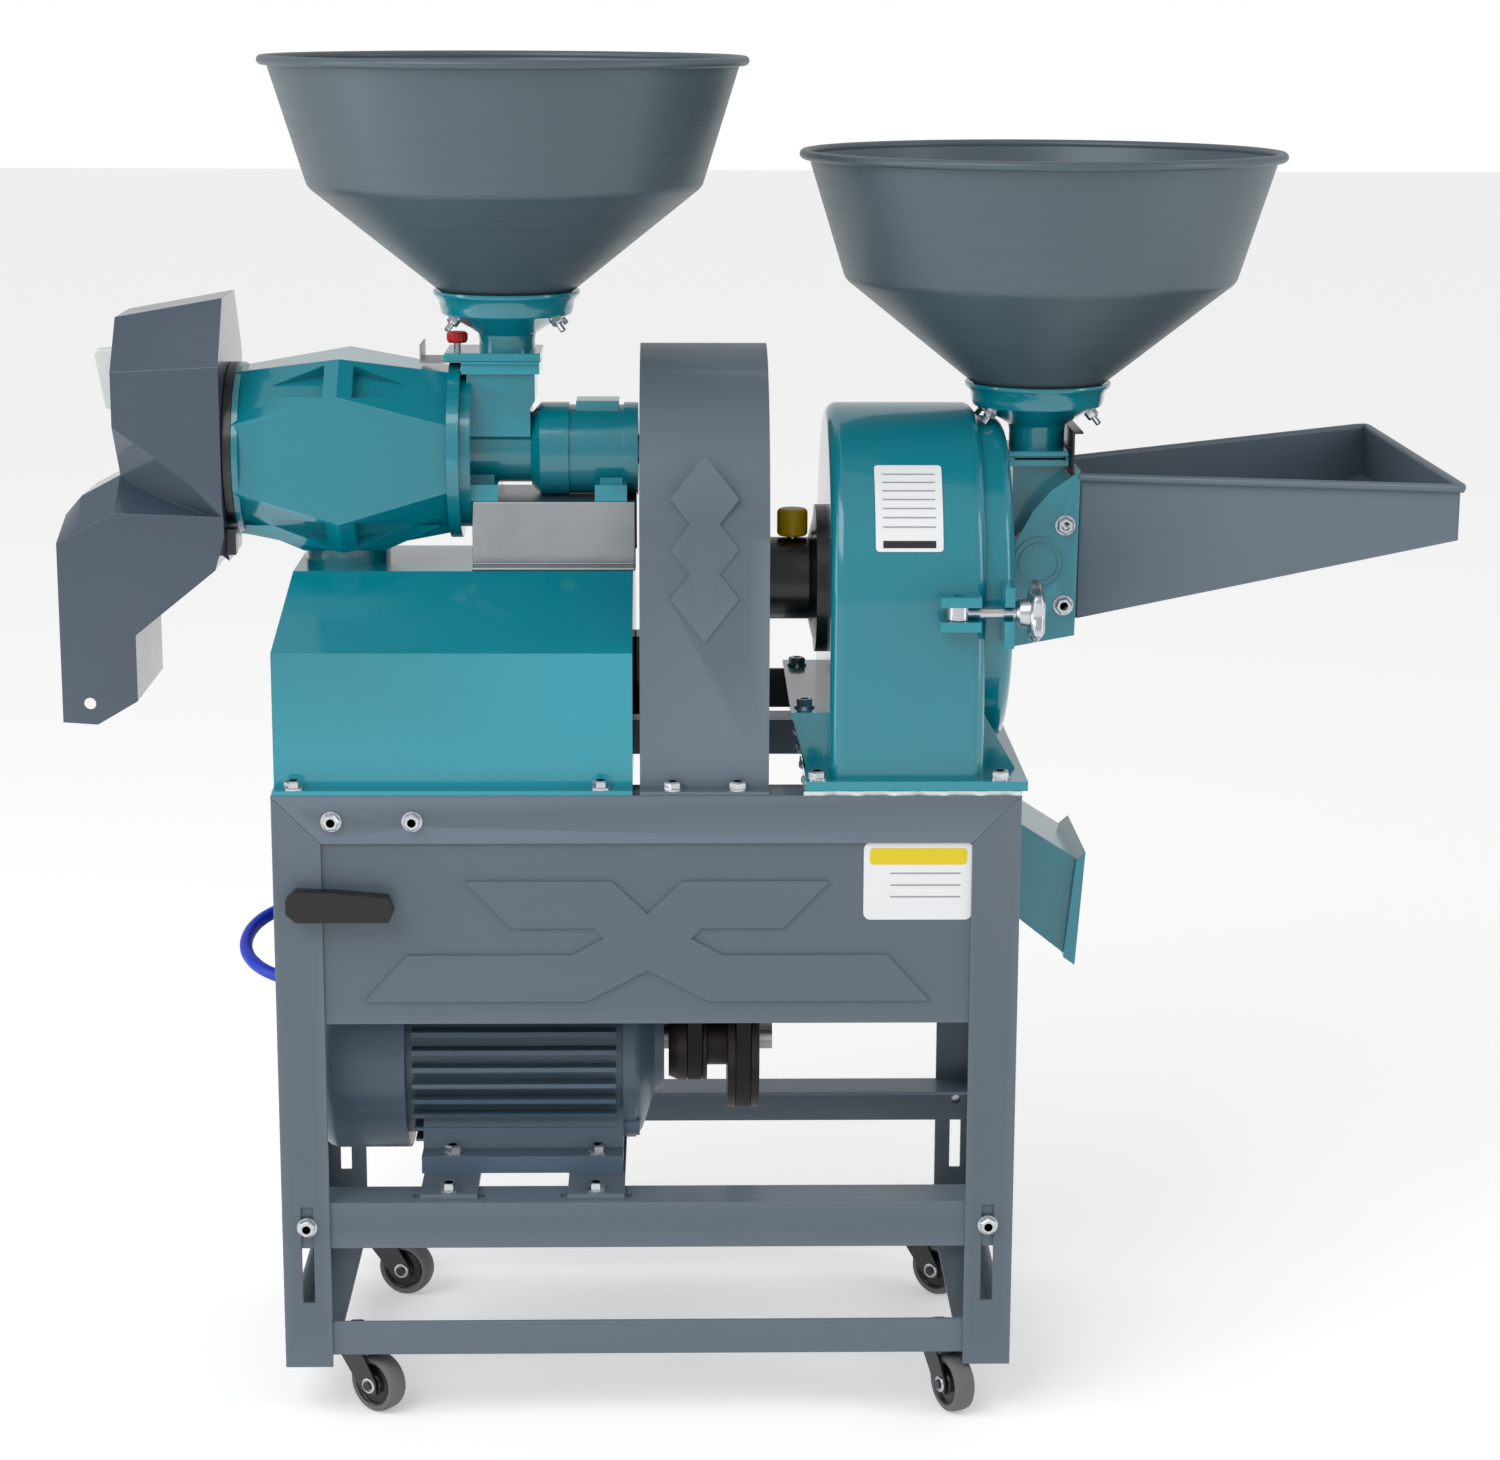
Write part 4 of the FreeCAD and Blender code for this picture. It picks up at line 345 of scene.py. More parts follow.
def lathe(bm, profile, centre, axis="Z", steps=48, material=0, frame_axes=None):
    """Turns a closed outline of radius and distance along an axis; a zero radius makes a pole."""
    u, v, w = frame_axes or AXES[axis]
    origin = Vector(centre)
    rings = []
    for radius, along in profile:
        middle = origin + w * along
        if radius < 1e-6:
            rings.append([bm.verts.new(middle)])
        else:
            rings.append([bm.verts.new(middle + (u * math.cos(a) + v * math.sin(a)) * radius)
                          for a in (2 * math.pi * k / steps for k in range(steps))])
    for i, ring in enumerate(rings):
        following = rings[(i + 1) % len(rings)]
        for k in range(steps):
            corners = [ring[k % len(ring)], ring[(k + 1) % len(ring)],
                       following[(k + 1) % len(following)], following[k % len(following)]]
            unique = []
            for corner in corners:
                if corner not in unique:
                    unique.append(corner)
            if len(unique) > 2:
                bm.faces.new(unique).material_index = material


def extrude_outline(bm, outline, depth, material=0):
    """Closed outline of points pushed along a vector into a solid."""
    near = [bm.verts.new(p) for p in outline]
    far = [bm.verts.new(Vector(p) + Vector(depth)) for p in outline]
    faces = [bm.faces.new(near), bm.faces.new(far[::-1])]
    for i in range(len(near)):
        j = (i + 1) % len(near)
        faces.append(bm.faces.new([near[i], far[i], far[j], near[j]]))
    for face in faces:
        face.material_index = material


def slab(bm, low, high, material=0):
    """Box between two corners."""
    (x0, y0, z0), (x1, y1, z1) = low, high
    extrude_outline(bm, [(x0, y0, z0), (x1, y0, z0), (x1, y1, z0), (x0, y1, z0)], (0, 0, z1 - z0), material)


def tube(bm, points, radius, steps=12, material=0):
    """Round bar along a run of points, closed at both ends."""
    points = [Vector(p) for p in points]
    aim = (points[1] - points[0]).normalized()
    side = aim.orthogonal().normalized()
    rings = []
    for i, point in enumerate(points):
        ahead = points[min(i + 1, len(points) - 1)] - points[max(i - 1, 0)]
        turn = aim.rotation_difference(ahead.normalized())
        side = (turn @ side).normalized()
        aim = ahead.normalized()
        other = aim.cross(side)
        rings.append([bm.verts.new(point + (side * math.cos(a) + other * math.sin(a)) * radius)
                      for a in (2 * math.pi * k / steps for k in range(steps))])
    for ring, following in zip(rings, rings[1:]):
        for k in range(steps):
            j = (k + 1) % steps
            bm.faces.new([ring[k], ring[j], following[j], following[k]]).material_index = material
    bm.faces.new(rings[0][::-1]).material_index = material
    bm.faces.new(rings[-1]).material_index = material


def sheet_grid(bm, across, along, point, thickness, material=0):
    """Closed sheet over a grid: point(u, v) gives the outer face and its outward normal."""
    outer, inner = [], []
    for v in along:
        row = [point(u, v) for u in across]
        outer.append([bm.verts.new(p) for p, n in row])
        inner.append([bm.verts.new(p - n * thickness) for p, n in row])
    rows, columns = len(along), len(across)
    for j in range(rows - 1):
        for i in range(columns - 1):
            for layer, flip in ((outer, 1), (inner, -1)):
                quad = [layer[j][i], layer[j][i + 1], layer[j + 1][i + 1], layer[j + 1][i]]
                bm.faces.new(quad[::flip]).material_index = material
    edge = [(0, i) for i in range(columns)] + [(j, columns - 1) for j in range(1, rows)]
    edge += [(rows - 1, i) for i in range(columns - 2, -1, -1)] + [(j, 0) for j in range(rows - 2, 0, -1)]
    for k, (j, i) in enumerate(edge):
        jj, ii = edge[(k + 1) % len(edge)]
        bm.faces.new([outer[jj][ii], outer[j][i], inner[j][i], inner[jj][ii]]).material_index = material


def cad_copy(node_name, flat_angle=1.0):
    """Merged copy of a CAD node's mesh, with its flat faces made whole."""
    bm = bmesh.new()
    bm.from_mesh(frame["nodes"][node_name].data)
    bmesh.ops.remove_doubles(bm, verts=bm.verts, dist=2e-6)
    bmesh.ops.dissolve_limit(bm, angle_limit=math.radians(flat_angle), verts=bm.verts, edges=bm.edges)
    bm.transform(FROM_ROW)
    return bm


def piece(name, bm, body, slot, materials, replaces=(), bevel=0.0, segments=2, limit=30, smooth=40,
          outward=True):
    """Turns a mesh into a finished piece that rides on a body; bevel is in millimetres."""
    if outward:
        bmesh.ops.recalc_face_normals(bm, faces=bm.faces)
    bm.transform(TO_ROW)
    rough = bpy.data.meshes.new(name + "_rough")
    bm.to_mesh(rough)
    bm.free()
    rough.polygons.foreach_set("use_smooth", [True] * len(rough.polygons))
    rough.set_sharp_from_angle(angle=math.radians(smooth))
    made = bpy.data.objects.new(name, rough)
    bpy.context.scene.collection.objects.link(made)
    if bevel:
        rounding = made.modifiers.new("rounding", "BEVEL")
        rounding.width = bevel * 0.001
        rounding.segments = segments
        rounding.limit_method = "ANGLE"
        rounding.angle_limit = math.radians(limit)
        rounding.use_clamp_overlap = True
        rounding.harden_normals = False
        flat = made.modifiers.new("flat_faces", "WEIGHTED_NORMAL")
        flat.keep_sharp = True
        settle(made)
    for material in materials:
        made.data.materials.append(MATERIALS[material])
    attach(made, body)
    if replaces:
        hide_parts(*replaces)
    return made


def settle(made):
    """Applies an object's modifiers to its mesh and removes them."""
    graph = bpy.context.evaluated_depsgraph_get()
    graph.update()
    mesh = bpy.data.meshes.new_from_object(made.evaluated_get(graph), preserve_all_data_layers=True,
                                           depsgraph=graph)
    mesh.name = made.name
    made.modifiers.clear()
    made.data = mesh


def softened(node_name, bevel, segments=2, limit=30, flat_angle=1.0, smooth=40):
    """Finished copy of a CAD node with rounded edges, in the node's own place and finish."""
    body = frame["nodes"][node_name]["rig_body"]
    slot = SLOT_OF[node_name]
    return piece("fine_" + node_name, cad_copy(node_name, flat_angle), body, slot, [slot], (node_name,),
                 bevel, segments,
                 limit, smooth)


def islands(bm):
    """Separate solids of a mesh, as lists of faces."""
    left = set(bm.faces)
    while left:
        stack = [left.pop()]
        group = []
        while stack:
            face = stack.pop()
            group.append(face)
            for edge in face.edges:
                for other in edge.link_faces:
                    if other in left:
                        left.remove(other)
                        stack.append(other)
        yield group


def keep_solids(bm, wanted):
    """Removes the solids whose middle fails a test."""
    gone = []
    for group in islands(bm):
        points = [v.co for f in group for v in f.verts]
        middle = Vector([(min(p[i] for p in points) + max(p[i] for p in points)) / 2 for i in range(3)])
        if not wanted(middle):
            gone += group
    bmesh.ops.delete(bm, geom=gone, context="FACES")
    return bm


def rounded(points, radii, steps=5):
    """Closed flat outline whose corners are turned into arcs."""
    result = []
    count = len(points)
    for i, (point, radius) in enumerate(zip(points, radii)):
        here = Vector(point)
        before = (Vector(points[i - 1]) - here)
        after = (Vector(points[(i + 1) % count]) - here)
        if radius <= 0:
            result.append(tuple(here))
            continue
        angle = before.angle(after)
        reach = min(radius / math.tan(angle / 2), 0.49 * before.length, 0.49 * after.length)
        a = here + before.normalized() * reach
        b = here + after.normalized() * reach
        for k in range(steps + 1):
            t = k / steps
            p = a * (1 - t) ** 2 + here * 2 * t * (1 - t) + b * t ** 2
            result.append(tuple(p))
    return result


def arc_points(cx, cy, radius, start, end, steps):
    """Points on an arc between two angles in degrees."""
    turns = [math.radians(start + (end - start) * k / steps) for k in range(steps + 1)]
    return [(cx + radius * math.cos(a), cy + radius * math.sin(a)) for a in turns]


# ---------------------------------------------------------------- fasteners, made with Geometry Nodes
def bolt_tree():
    """Hex head with a washer on every point, aimed along the point's own direction."""
    tree = bpy.data.node_groups.new("hex_heads", "GeometryNodeTree")
    tree.interface.new_socket("Geometry", in_out="INPUT", socket_type="NodeSocketGeometry")
    tree.interface.new_socket("Geometry", in_out="OUTPUT", socket_type="NodeSocketGeometry")
    for label in ("Across", "Height", "Washer", "Stud"):
        tree.interface.new_socket(label, in_out="INPUT", socket_type="NodeSocketFloat")
    tree.interface.new_socket("Metal", in_out="INPUT", socket_type="NodeSocketMaterial")
    given = node(tree, "NodeGroupInput").outputs

    def scaled(socket, factor):
        return node(tree, "ShaderNodeMath", {0: socket, 1: factor}, operation="MULTIPLY").outputs[0]

    def lifted(geometry, height):
        place = node(tree, "ShaderNodeCombineXYZ", {"Z": height}).outputs[0]
        return node(tree, "GeometryNodeTransform", {"Geometry": geometry, "Translation": place}).outputs[0]

    corner = scaled(given["Across"], 1 / math.sqrt(3))
    height = given["Height"]
    body = node(tree, "GeometryNodeMeshCylinder",
                {"Vertices": 6, "Radius": corner, "Depth": scaled(height, 0.8)})
    cap = node(tree, "GeometryNodeMeshCone",
               {"Vertices": 6, "Radius Bottom": corner, "Radius Top": scaled(corner, 0.84),
                "Depth": scaled(height, 0.2)})
    disc = node(tree, "GeometryNodeMeshCylinder",
                {"Vertices": 28, "Radius": scaled(given["Washer"], 0.5), "Depth": WASHER_THICKNESS})
    stud = node(tree, "GeometryNodeMeshCylinder",
                {"Vertices": 16, "Radius": scaled(given["Across"], 0.28), "Depth": given["Stud"]})
    top = node(tree, "ShaderNodeMath", {0: height, 1: WASHER_THICKNESS}, operation="ADD")
    body_rise = node(tree, "ShaderNodeMath", {0: scaled(height, 0.4), 1: WASHER_THICKNESS})
    cap_rise = node(tree, "ShaderNodeMath", {0: scaled(height, 0.8), 1: WASHER_THICKNESS})
    stud_rise = node(tree, "ShaderNodeMath", {0: top.outputs[0], 1: scaled(given["Stud"], 0.49)})
    pieces = [lifted(body.outputs["Mesh"], body_rise.outputs[0]),
              lifted(cap.outputs["Mesh"], cap_rise.outputs[0]),
              lifted(disc.outputs["Mesh"], WASHER_THICKNESS / 2), lifted(stud.outputs["Mesh"],
                                                                         stud_rise.outputs[0])]
    joined = node(tree, "GeometryNodeJoinGeometry")
    for item in pieces:
        tree.links.new(item, joined.inputs[0])
    aim = node(tree, "GeometryNodeInputNamedAttribute", {"Name": "aim"}, data_type="FLOAT_VECTOR")
    turn = node(tree, "FunctionNodeAlignRotationToVector", {"Vector": aim.outputs["Attribute"]}, axis="Z")
    spin = node(tree, "FunctionNodeRandomValue", {"Min": (0.0, 0.0, -3.0), "Max": (0.0, 0.0, 3.0), "Seed": 4},
                data_type="FLOAT_VECTOR")
    spun = node(tree, "FunctionNodeRotateRotation",
                {"Rotation": turn.outputs[0], "Rotate By": spin.outputs["Value"]},
                rotation_space="LOCAL")
    placed = node(tree, "GeometryNodeInstanceOnPoints",
                  {"Points": given["Geometry"], "Instance": joined.outputs[0],
                                                         "Rotation": spun.outputs[0]})
    real = node(tree, "GeometryNodeRealizeInstances", {"Geometry": placed.outputs[0]})
    painted = node(tree, "GeometryNodeSetMaterial", {"Geometry": real.outputs[0], "Material": given["Metal"]})
    node(tree, "NodeGroupOutput", {"Geometry": painted.outputs[0]})
    return tree


def hex_heads(name, places, body, metal, across=13.0, height=5.5, washer=18.0, stud=0.0, replaces=()):
    """Bolt heads or nuts at points, each with the direction it faces; sizes in millimetres."""
    tree = bpy.data.node_groups.get("hex_heads") or bolt_tree()
    mesh = bpy.data.meshes.new(name + "_points")
    mesh.from_pydata([TO_ROW @ Vector(p[:3]) for p in places], [], [])
    aims = mesh.attributes.new("aim", "FLOAT_VECTOR", "POINT")
    aims.data.foreach_set("vector", [c for p in places for c in Vector(p[3]).normalized()])
    made = bpy.data.objects.new(name, mesh)
    bpy.context.scene.collection.objects.link(made)
    sown = made.modifiers.new("heads", "NODES")
    sown.node_group = tree
    wanted = {"Across": across / 1000, "Height": height / 1000, "Washer": washer / 1000, "Stud": stud / 1000,
              "Metal": MATERIALS[metal]}
    for item in tree.interface.items_tree:
        if item.in_out == "INPUT" and item.name in wanted:
            sown[item.identifier] = wanted[item.name]
    settle(made)
    made.data.polygons.foreach_set("use_smooth", [True] * len(made.data.polygons))
    made.data.set_sharp_from_angle(angle=math.radians(25))
    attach(made, body)
    if replaces:
        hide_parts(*replaces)
    return made


# ---------------------------------------------------------------- cards bent onto a surface
def flat_front(y):
    """Upright surface that faces the front."""
    return lambda u, s: (Vector((u, y, s)), Vector((0, -1, 0)))


def arched(radius, centre_z):
    """Front side of an arched casing; the second place runs up the side and on over the arch."""
    def point(u, s):
        turn = max(0.0, (s - centre_z) / radius)
        low = min(s, centre_z)
        normal = Vector((0, -math.cos(turn), math.sin(turn)))
        return Vector((u, 0, low)) + normal * radius, normal
    return point


def card(bm, surface, u0, u1, s0, s1, lift=0.25, thick=0.25, corner=0.0, material=0):
    """Thin card with rounded corners laid on a surface."""
    rows = [s0 + (s1 - s0) * k / 12 for k in range(13)]
    if corner:
        ends = [corner * (1 - math.cos(math.radians(18 * k))) for k in range(6)]
        rows = sorted(set([round(s0 + e, 4) for e in ends] + [round(s1 - e, 4) for e in ends] +
                          [r for r in rows if s0 + corner < r < s1 - corner]))
    middle = (u0 + u1) / 2
    half = (u1 - u0) / 2

    def point(f, s):
        near = min(s - s0, s1 - s)
        cut = corner - math.sqrt(max(0.0, corner ** 2 - (corner - near) ** 2)) if near < corner else 0.0
        place, normal = surface(middle + f * (half - cut), s)
        return place + normal * lift, normal
    sheet_grid(bm, [-1.0, -0.5, 0.0, 0.5, 1.0], rows, point, thick, material)


def plate(bm, corners, thick, material=0):
    """Flat sheet between corners, its thickness laid along the sheet's own normal."""
    corners = [Vector(c) for c in corners]
    normal = (corners[1] - corners[0]).cross(corners[2] - corners[0]).normalized()
    extrude_outline(bm, corners, normal * thick, material)


# ---------------------------------------------------------------- stage and lead
def make_stage(settings):
    """Camera, pale floor and soft lamps."""
    theta, psi, rho = settings.pitch, settings.yaw, settings.roll
    ahead = Vector((math.sin(psi) * math.cos(theta), math.cos(psi) * math.cos(theta), -math.sin(theta)))
    side = Vector((math.cos(psi), -math.sin(psi), 0))
    up = side.cross(ahead)
    across = side * math.cos(rho) + up * math.sin(rho)
    over = up * math.cos(rho) - side * math.sin(rho)
    camera = bpy.data.objects.new("camera", bpy.data.cameras.new("camera"))
    bpy.context.scene.collection.objects.link(camera)
    camera.data.lens = settings.lens
    camera.data.sensor_width = 36
    turn = Matrix((across, over, -ahead)).transposed().to_4x4()
    camera.matrix_world = Matrix.Translation(settings.eye) @ turn
    bpy.context.scene.camera = camera

    bm = bmesh.new()
    bmesh.ops.create_grid(bm, x_segments=8, y_segments=8, size=14)
    mesh = bpy.data.meshes.new("floor")
    bm.to_mesh(mesh)
    bm.free()
    floor = bpy.data.objects.new("floor", mesh)
    floor.location = (0, 6, -0.0005)
    bpy.context.scene.collection.objects.link(floor)
    floor.data.materials.append(floor_material())
    floor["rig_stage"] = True

    for name, place, aim, size, power in (
            ("key", (-1.7, -2.4, 3.0), (0, 0, 0.7), (2.6, 2.2), settings.key_power),
            ("left_strip", (-2.3, -0.6, 1.1), (0, 0, 0.7), (0.5, 2.2), settings.strip_power),
            ("right_strip", (2.4, -0.9, 1.2), (0, 0, 0.7), (0.6, 2.2), settings.strip_power)):
        lamp = bpy.data.objects.new(name, bpy.data.lights.new(name, "AREA"))
        bpy.context.scene.collection.objects.link(lamp)
        lamp.data.shape = "RECTANGLE"
        lamp.data.size, lamp.data.size_y = size
        lamp.data.energy = power
        lamp.location = place
        lamp.rotation_mode = "QUATERNION"
        lamp.rotation_quaternion = (Vector(aim) - Vector(place)).to_track_quat("-Z", "Y")

    world = bpy.data.worlds.new("studio")
    bpy.context.scene.world = world
    world.use_nodes = True
    tree = world.node_tree
    tree.nodes.clear()
    path = node(tree, "ShaderNodeLightPath").outputs
    seen = node(tree, "ShaderNodeMath", {0: path["Is Camera Ray"], 1: path["Is Transmission Ray"]},
                operation="MAXIMUM")
    plain = node(tree, "ShaderNodeBackground", {"Color": srgb("#FFFFFF"), "Strength": settings.sky})
    white = node(tree, "ShaderNodeBackground", {"Color": srgb("#FFFFFF"), "Strength": 1.0})
    both = node(tree, "ShaderNodeMixShader", {0: seen.outputs[0], 1: plain.outputs[0], 2: white.outputs[0]})
    node(tree, "ShaderNodeOutputWorld", {"Surface": both.outputs[0]})
    bpy.context.scene.view_settings.view_transform = "Standard"


def floor_material():
    """Matt white paper: keeps the soft shadow and shows white elsewhere."""
    made, tree, place = blank_material("matt_white_paper")
    fibres = node(tree, "ShaderNodeTexNoise", {"Vector": place, "Scale": 300.0, "Detail": 3.0})
    tone = node(tree, "ShaderNodeMix", {"Factor": fibres.outputs["Fac"], "A": srgb("#F2F2F2"),
                                        "B": srgb("#F6F6F6")},
                data_type="RGBA")
    paper = node(tree, "ShaderNodeBsdfDiffuse", {"Color": tone.outputs["Result"]})
    path = node(tree, "ShaderNodeLightPath").outputs
    seen = node(tree, "ShaderNodeMath", {0: path["Is Camera Ray"], 1: path["Is Glossy Ray"]},
                operation="MAXIMUM")
    lit = node(tree, "ShaderNodeEmission", {"Color": srgb("#FFFFFF"), "Strength": 0.30})
    both = node(tree, "ShaderNodeAddShader", {0: paper.outputs[0], 1: lit.outputs[0]})
    chosen = node(tree, "ShaderNodeMixShader", {0: seen.outputs[0], 1: paper.outputs[0], 2: both.outputs[0]})
    finish_material(tree, chosen)
    return made


LEAD_ROUTE = [(-0.2325, 0.0150, 0.4060), (-0.2825, 0.0150, 0.4060), (-0.3345, 0.0190, 0.4090),
              (-0.3845, 0.0170, 0.4070), (-0.4215, -0.0150, 0.4000), (-0.4305, -0.0600, 0.3870),
              (-0.4095, -0.1020, 0.3780), (-0.3675, -0.1230, 0.3730), (-0.3315, -0.1330, 0.3910),
              (-0.3085, -0.1410, 0.4320), (-0.3075, -0.1415, 0.4800)]


def make_lead(shape):
    """Motor lead from the gland to the box behind the top rail."""
    curve = bpy.data.curves.new("fine_motor_lead", "CURVE")
    curve.dimensions = "3D"
    line = curve.splines.new("NURBS")
    line.points.add(len(LEAD_ROUTE) - 1)
    for point, place in zip(line.points, LEAD_ROUTE):
        point.co = (*place, 1.0)
    line.order_u = 3
    line.use_endpoint_u = True
    line.resolution_u = 12
    curve.bevel_depth = shape.lead_diameter / 2
    curve.bevel_resolution = 6
    curve.use_fill_caps = True
    lead = bpy.data.objects.new("fine_motor_lead", curve)
    bpy.context.scene.collection.objects.link(lead)
    curve.materials.append(MATERIALS["blue_sheath"])
    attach(lead, "stand")
    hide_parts("motor_lead")
    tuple(LEAD_ROUTE[0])


# ---------------------------------------------------------------- stand
def make_stand():
    """Deck ring, legs, lower rails, motor rails and pressed panel."""
    for name in ("top_rails", "legs", "bottom_rails", "motor_rails", "guard_stays"):
        softened(name, 0.9, 2)
    softened("front_panel", 1.1, 3, flat_angle=0.5)
    softened("junction_box", 2.0, 3)


def make_casters():
    """Moulded forks, wheels with a rounded tread, and plates."""
    softened("caster_plates", 0.6, 2)
    for corner in ("front_left", "front_right", "rear_left", "rear_right"):
        softened("caster_fork_" + corner, 0.9, 2)
        low, high = extent("caster_wheel_" + corner)
        centre = (low + high) / 2
        sx = -1 if "left" in corner else 1
        sy = -1 if "front" in corner else 1
        axis = (Vector((centre.x, centre.y, 0)) - Vector((sx * CASTER_X, sy * CASTER_Y, 0))).normalized()
        axle = Vector((-axis.y, axis.x, 0))
        axes = (axis, Vector((0, 0, 1)), axle)
        bm = bmesh.new()
        tread = [(19.2, -8.6), (22.4, -9.0), (24.2, -7.6), (25.0, -4.5), (25.0, 4.5), (24.2, 7.6),
                 (22.4, 9.0), (19.2, 8.6)]
        lathe(bm, tread, centre, steps=64, material=0, frame_axes=axes)
        hub = [(4.3, -9.0), (8.4, -9.0), (9.2, -8.4), (9.8, -6.6), (16.4, -6.2), (17.4, -7.6), (19.0, -8.2),
               (19.3, -7.0),
               (19.3, 7.0), (19.0, 8.2), (17.4, 7.6), (16.4, 6.2), (9.8, 6.6), (9.2, 8.4), (8.4, 9.0), (4.3,
                                                                                                        9.0)]
        lathe(bm, hub, centre, steps=64, material=1, frame_axes=axes)
        piece("fine_wheel_" + corner, bm, "wheel_" + corner, "wheel_rubber", ["wheel_rubber", "black_wheel"],
              ("caster_wheel_" + corner,))
        bm = bmesh.new()
        for side in (-1, 1):
            cap = [(0.0, 13.4), (4.6, 13.4), (5.2, 13.9), (6.6, 13.6), (7.0, 13.0), (7.0, 12.4), (0.0, 12.4)]
            lathe(bm, [(r, side * a) for r, a in cap], centre, steps=24, frame_axes=axes)
        piece("axle_caps_" + corner, bm, "fork_" + corner, "zinc_steel", ["zinc_steel"])


# ---------------------------------------------------------------- hoppers
def hopper_profile(throat_z, bead):
    """Outline of a spun hopper with a soft shoulder and a rolled rim."""
    shoulder = throat_z + 89
    rim = throat_z + 196
    outside = [(53, throat_z), (164, shoulder), (195.2, rim - 6.5)]
    inside = [(194.0, rim - 6.0), (162.5, shoulder + 0.6), (51.5, throat_z + 0.6)]
    curl = arc_points(199.0, rim - bead, bead, 205, -125, 12)
    outline = outside + curl[::-1] + inside
    radii = [0, 14, 0] + [0] * len(curl) + [0, 14, 0]
    return rounded(outline, radii, 6)


def make_hoppers(shape):
    """Both hoppers with their cups, tubes and square bases."""
    bead = shape.hopper_bead * 1000
    for name, x, throat in (("huller_hopper", HULLER_FEED_X, HULLER_THROAT_Z),
                            ("mill_hopper", MILL_FEED_X, MILL_THROAT_Z)):
        bm = bmesh.new()
        lathe(bm, hopper_profile(throat, bead), (x, 0, 0), steps=shape.round_steps)
        piece("fine_" + name, bm, "stand", "hammered_slate", ["hammered_slate"], (name,))
    bm = bmesh.new()
    for x, throat, bottom in ((HULLER_FEED_X, HULLER_THROAT_Z, HULLER_NECK_Z),
                              (MILL_FEED_X, MILL_THROAT_Z, MILL_NECK_Z)):
        top = throat + 1 + 2.4
        ring_points = [(61.5, top), (61.8, top - 3.2), (57.0, top - 8.5), (56.2, top - 14), (54.6, top - 20),
                       (49.0, throat - 19), (34.0, throat - 27), (24.4, throat - 33), (23.5, throat - 38),
                       (23.5, bottom + 3), (20.5, bottom + 3), (20.5, throat - 30), (47.0, throat - 7),
                       (47.0, throat - 0.3), (53.0, throat - 0.3)]
        lathe(bm, ring_points, (x, 0, 0), steps=96)
    slab(bm, (-169, -36, HULLER_NECK_Z), (-89, 36, 892.2))
    slab(bm, (303, -36, MILL_NECK_Z), (354, 36, 811))
    piece("fine_hopper_necks", bm, "stand", "teal_casting", ["teal_casting"], ("hopper_necks",), 0.9, 2, 35,
          40)
    studs = []
    for x, z in ((HULLER_FEED_X, 921.0), (MILL_FEED_X, 844.0)):
        for angle in (35, 145, 215, 325):
            a = math.radians(angle)
            studs.append((x + 50 * math.cos(a), 50 * math.sin(a), z, (math.cos(a), math.sin(a), -1.1)))
    hex_heads("cup_nuts", studs, "stand", "zinc_steel", 9.0, 5.0, 11.0, 7.0)


# ---------------------------------------------------------------- huller
def make_huller():
    """Box, bracket, housings, barrel, gate and its knob."""
    softened("huller_box", 1.2, 3)
    softened("huller_bracket", 1.2, 3)
    softened("huller_feed_housing", 1.6, 3)
    softened("huller_bearing_housing", 1.6, 3)
    softened("huller_barrel", 1.8, 3, 22)
    softened("gate_guides", 0.5, 2)
    softened("huller_gate", 0.4, 2)
    low, high = extent("gate_knob")
    x = (low.x + high.x) / 2
    bm = bmesh.new()
    lathe(bm, [(0, low.z), (3.0, low.z), (3.0, low.z + 13), (0, low.z + 13)], (x, 0, 0), steps=20, material=0)
    head = rounded([(0, high.z - 9.2), (7.6, high.z - 9.2), (8.5, high.z - 7.5), (8.5, high.z - 1.2),
                    (7.0, high.z),
                    (3.6, high.z - 0.6), (0, high.z - 0.8)], [0, 0.6, 0.6, 0.9, 0.9, 0.5, 0], 3)
    lathe(bm, head, (x, 0, 0), steps=40, material=1)
    for k in range(18):
        a = 2 * math.pi * k / 18
        tube(bm, [(x + 8.35 * math.cos(a), 8.35 * math.sin(a), high.z - 7.2),
                  (x + 8.35 * math.cos(a), 8.35 * math.sin(a), high.z - 1.6)], 0.55, 6, 1)
    piece("fine_gate_knob", bm, "slide_knob", "red_moulding", ["zinc_steel", "red_moulding"], ("gate_knob",))


def make_hood():
    """Folded hood, its collar, and the pale wing knob on the pressure screw."""
    softened("discharge_hood", 1.4, 3, 14)
    softened("discharge_collar", 0.8, 2)
    softened("pressure_plate", 0.6, 2)
    softened("pressure_knob", 2.6, 4)


def make_guard():
    """Folded belt guard with its pressed diamonds."""
    softened("belt_guard", 0.7, 2)


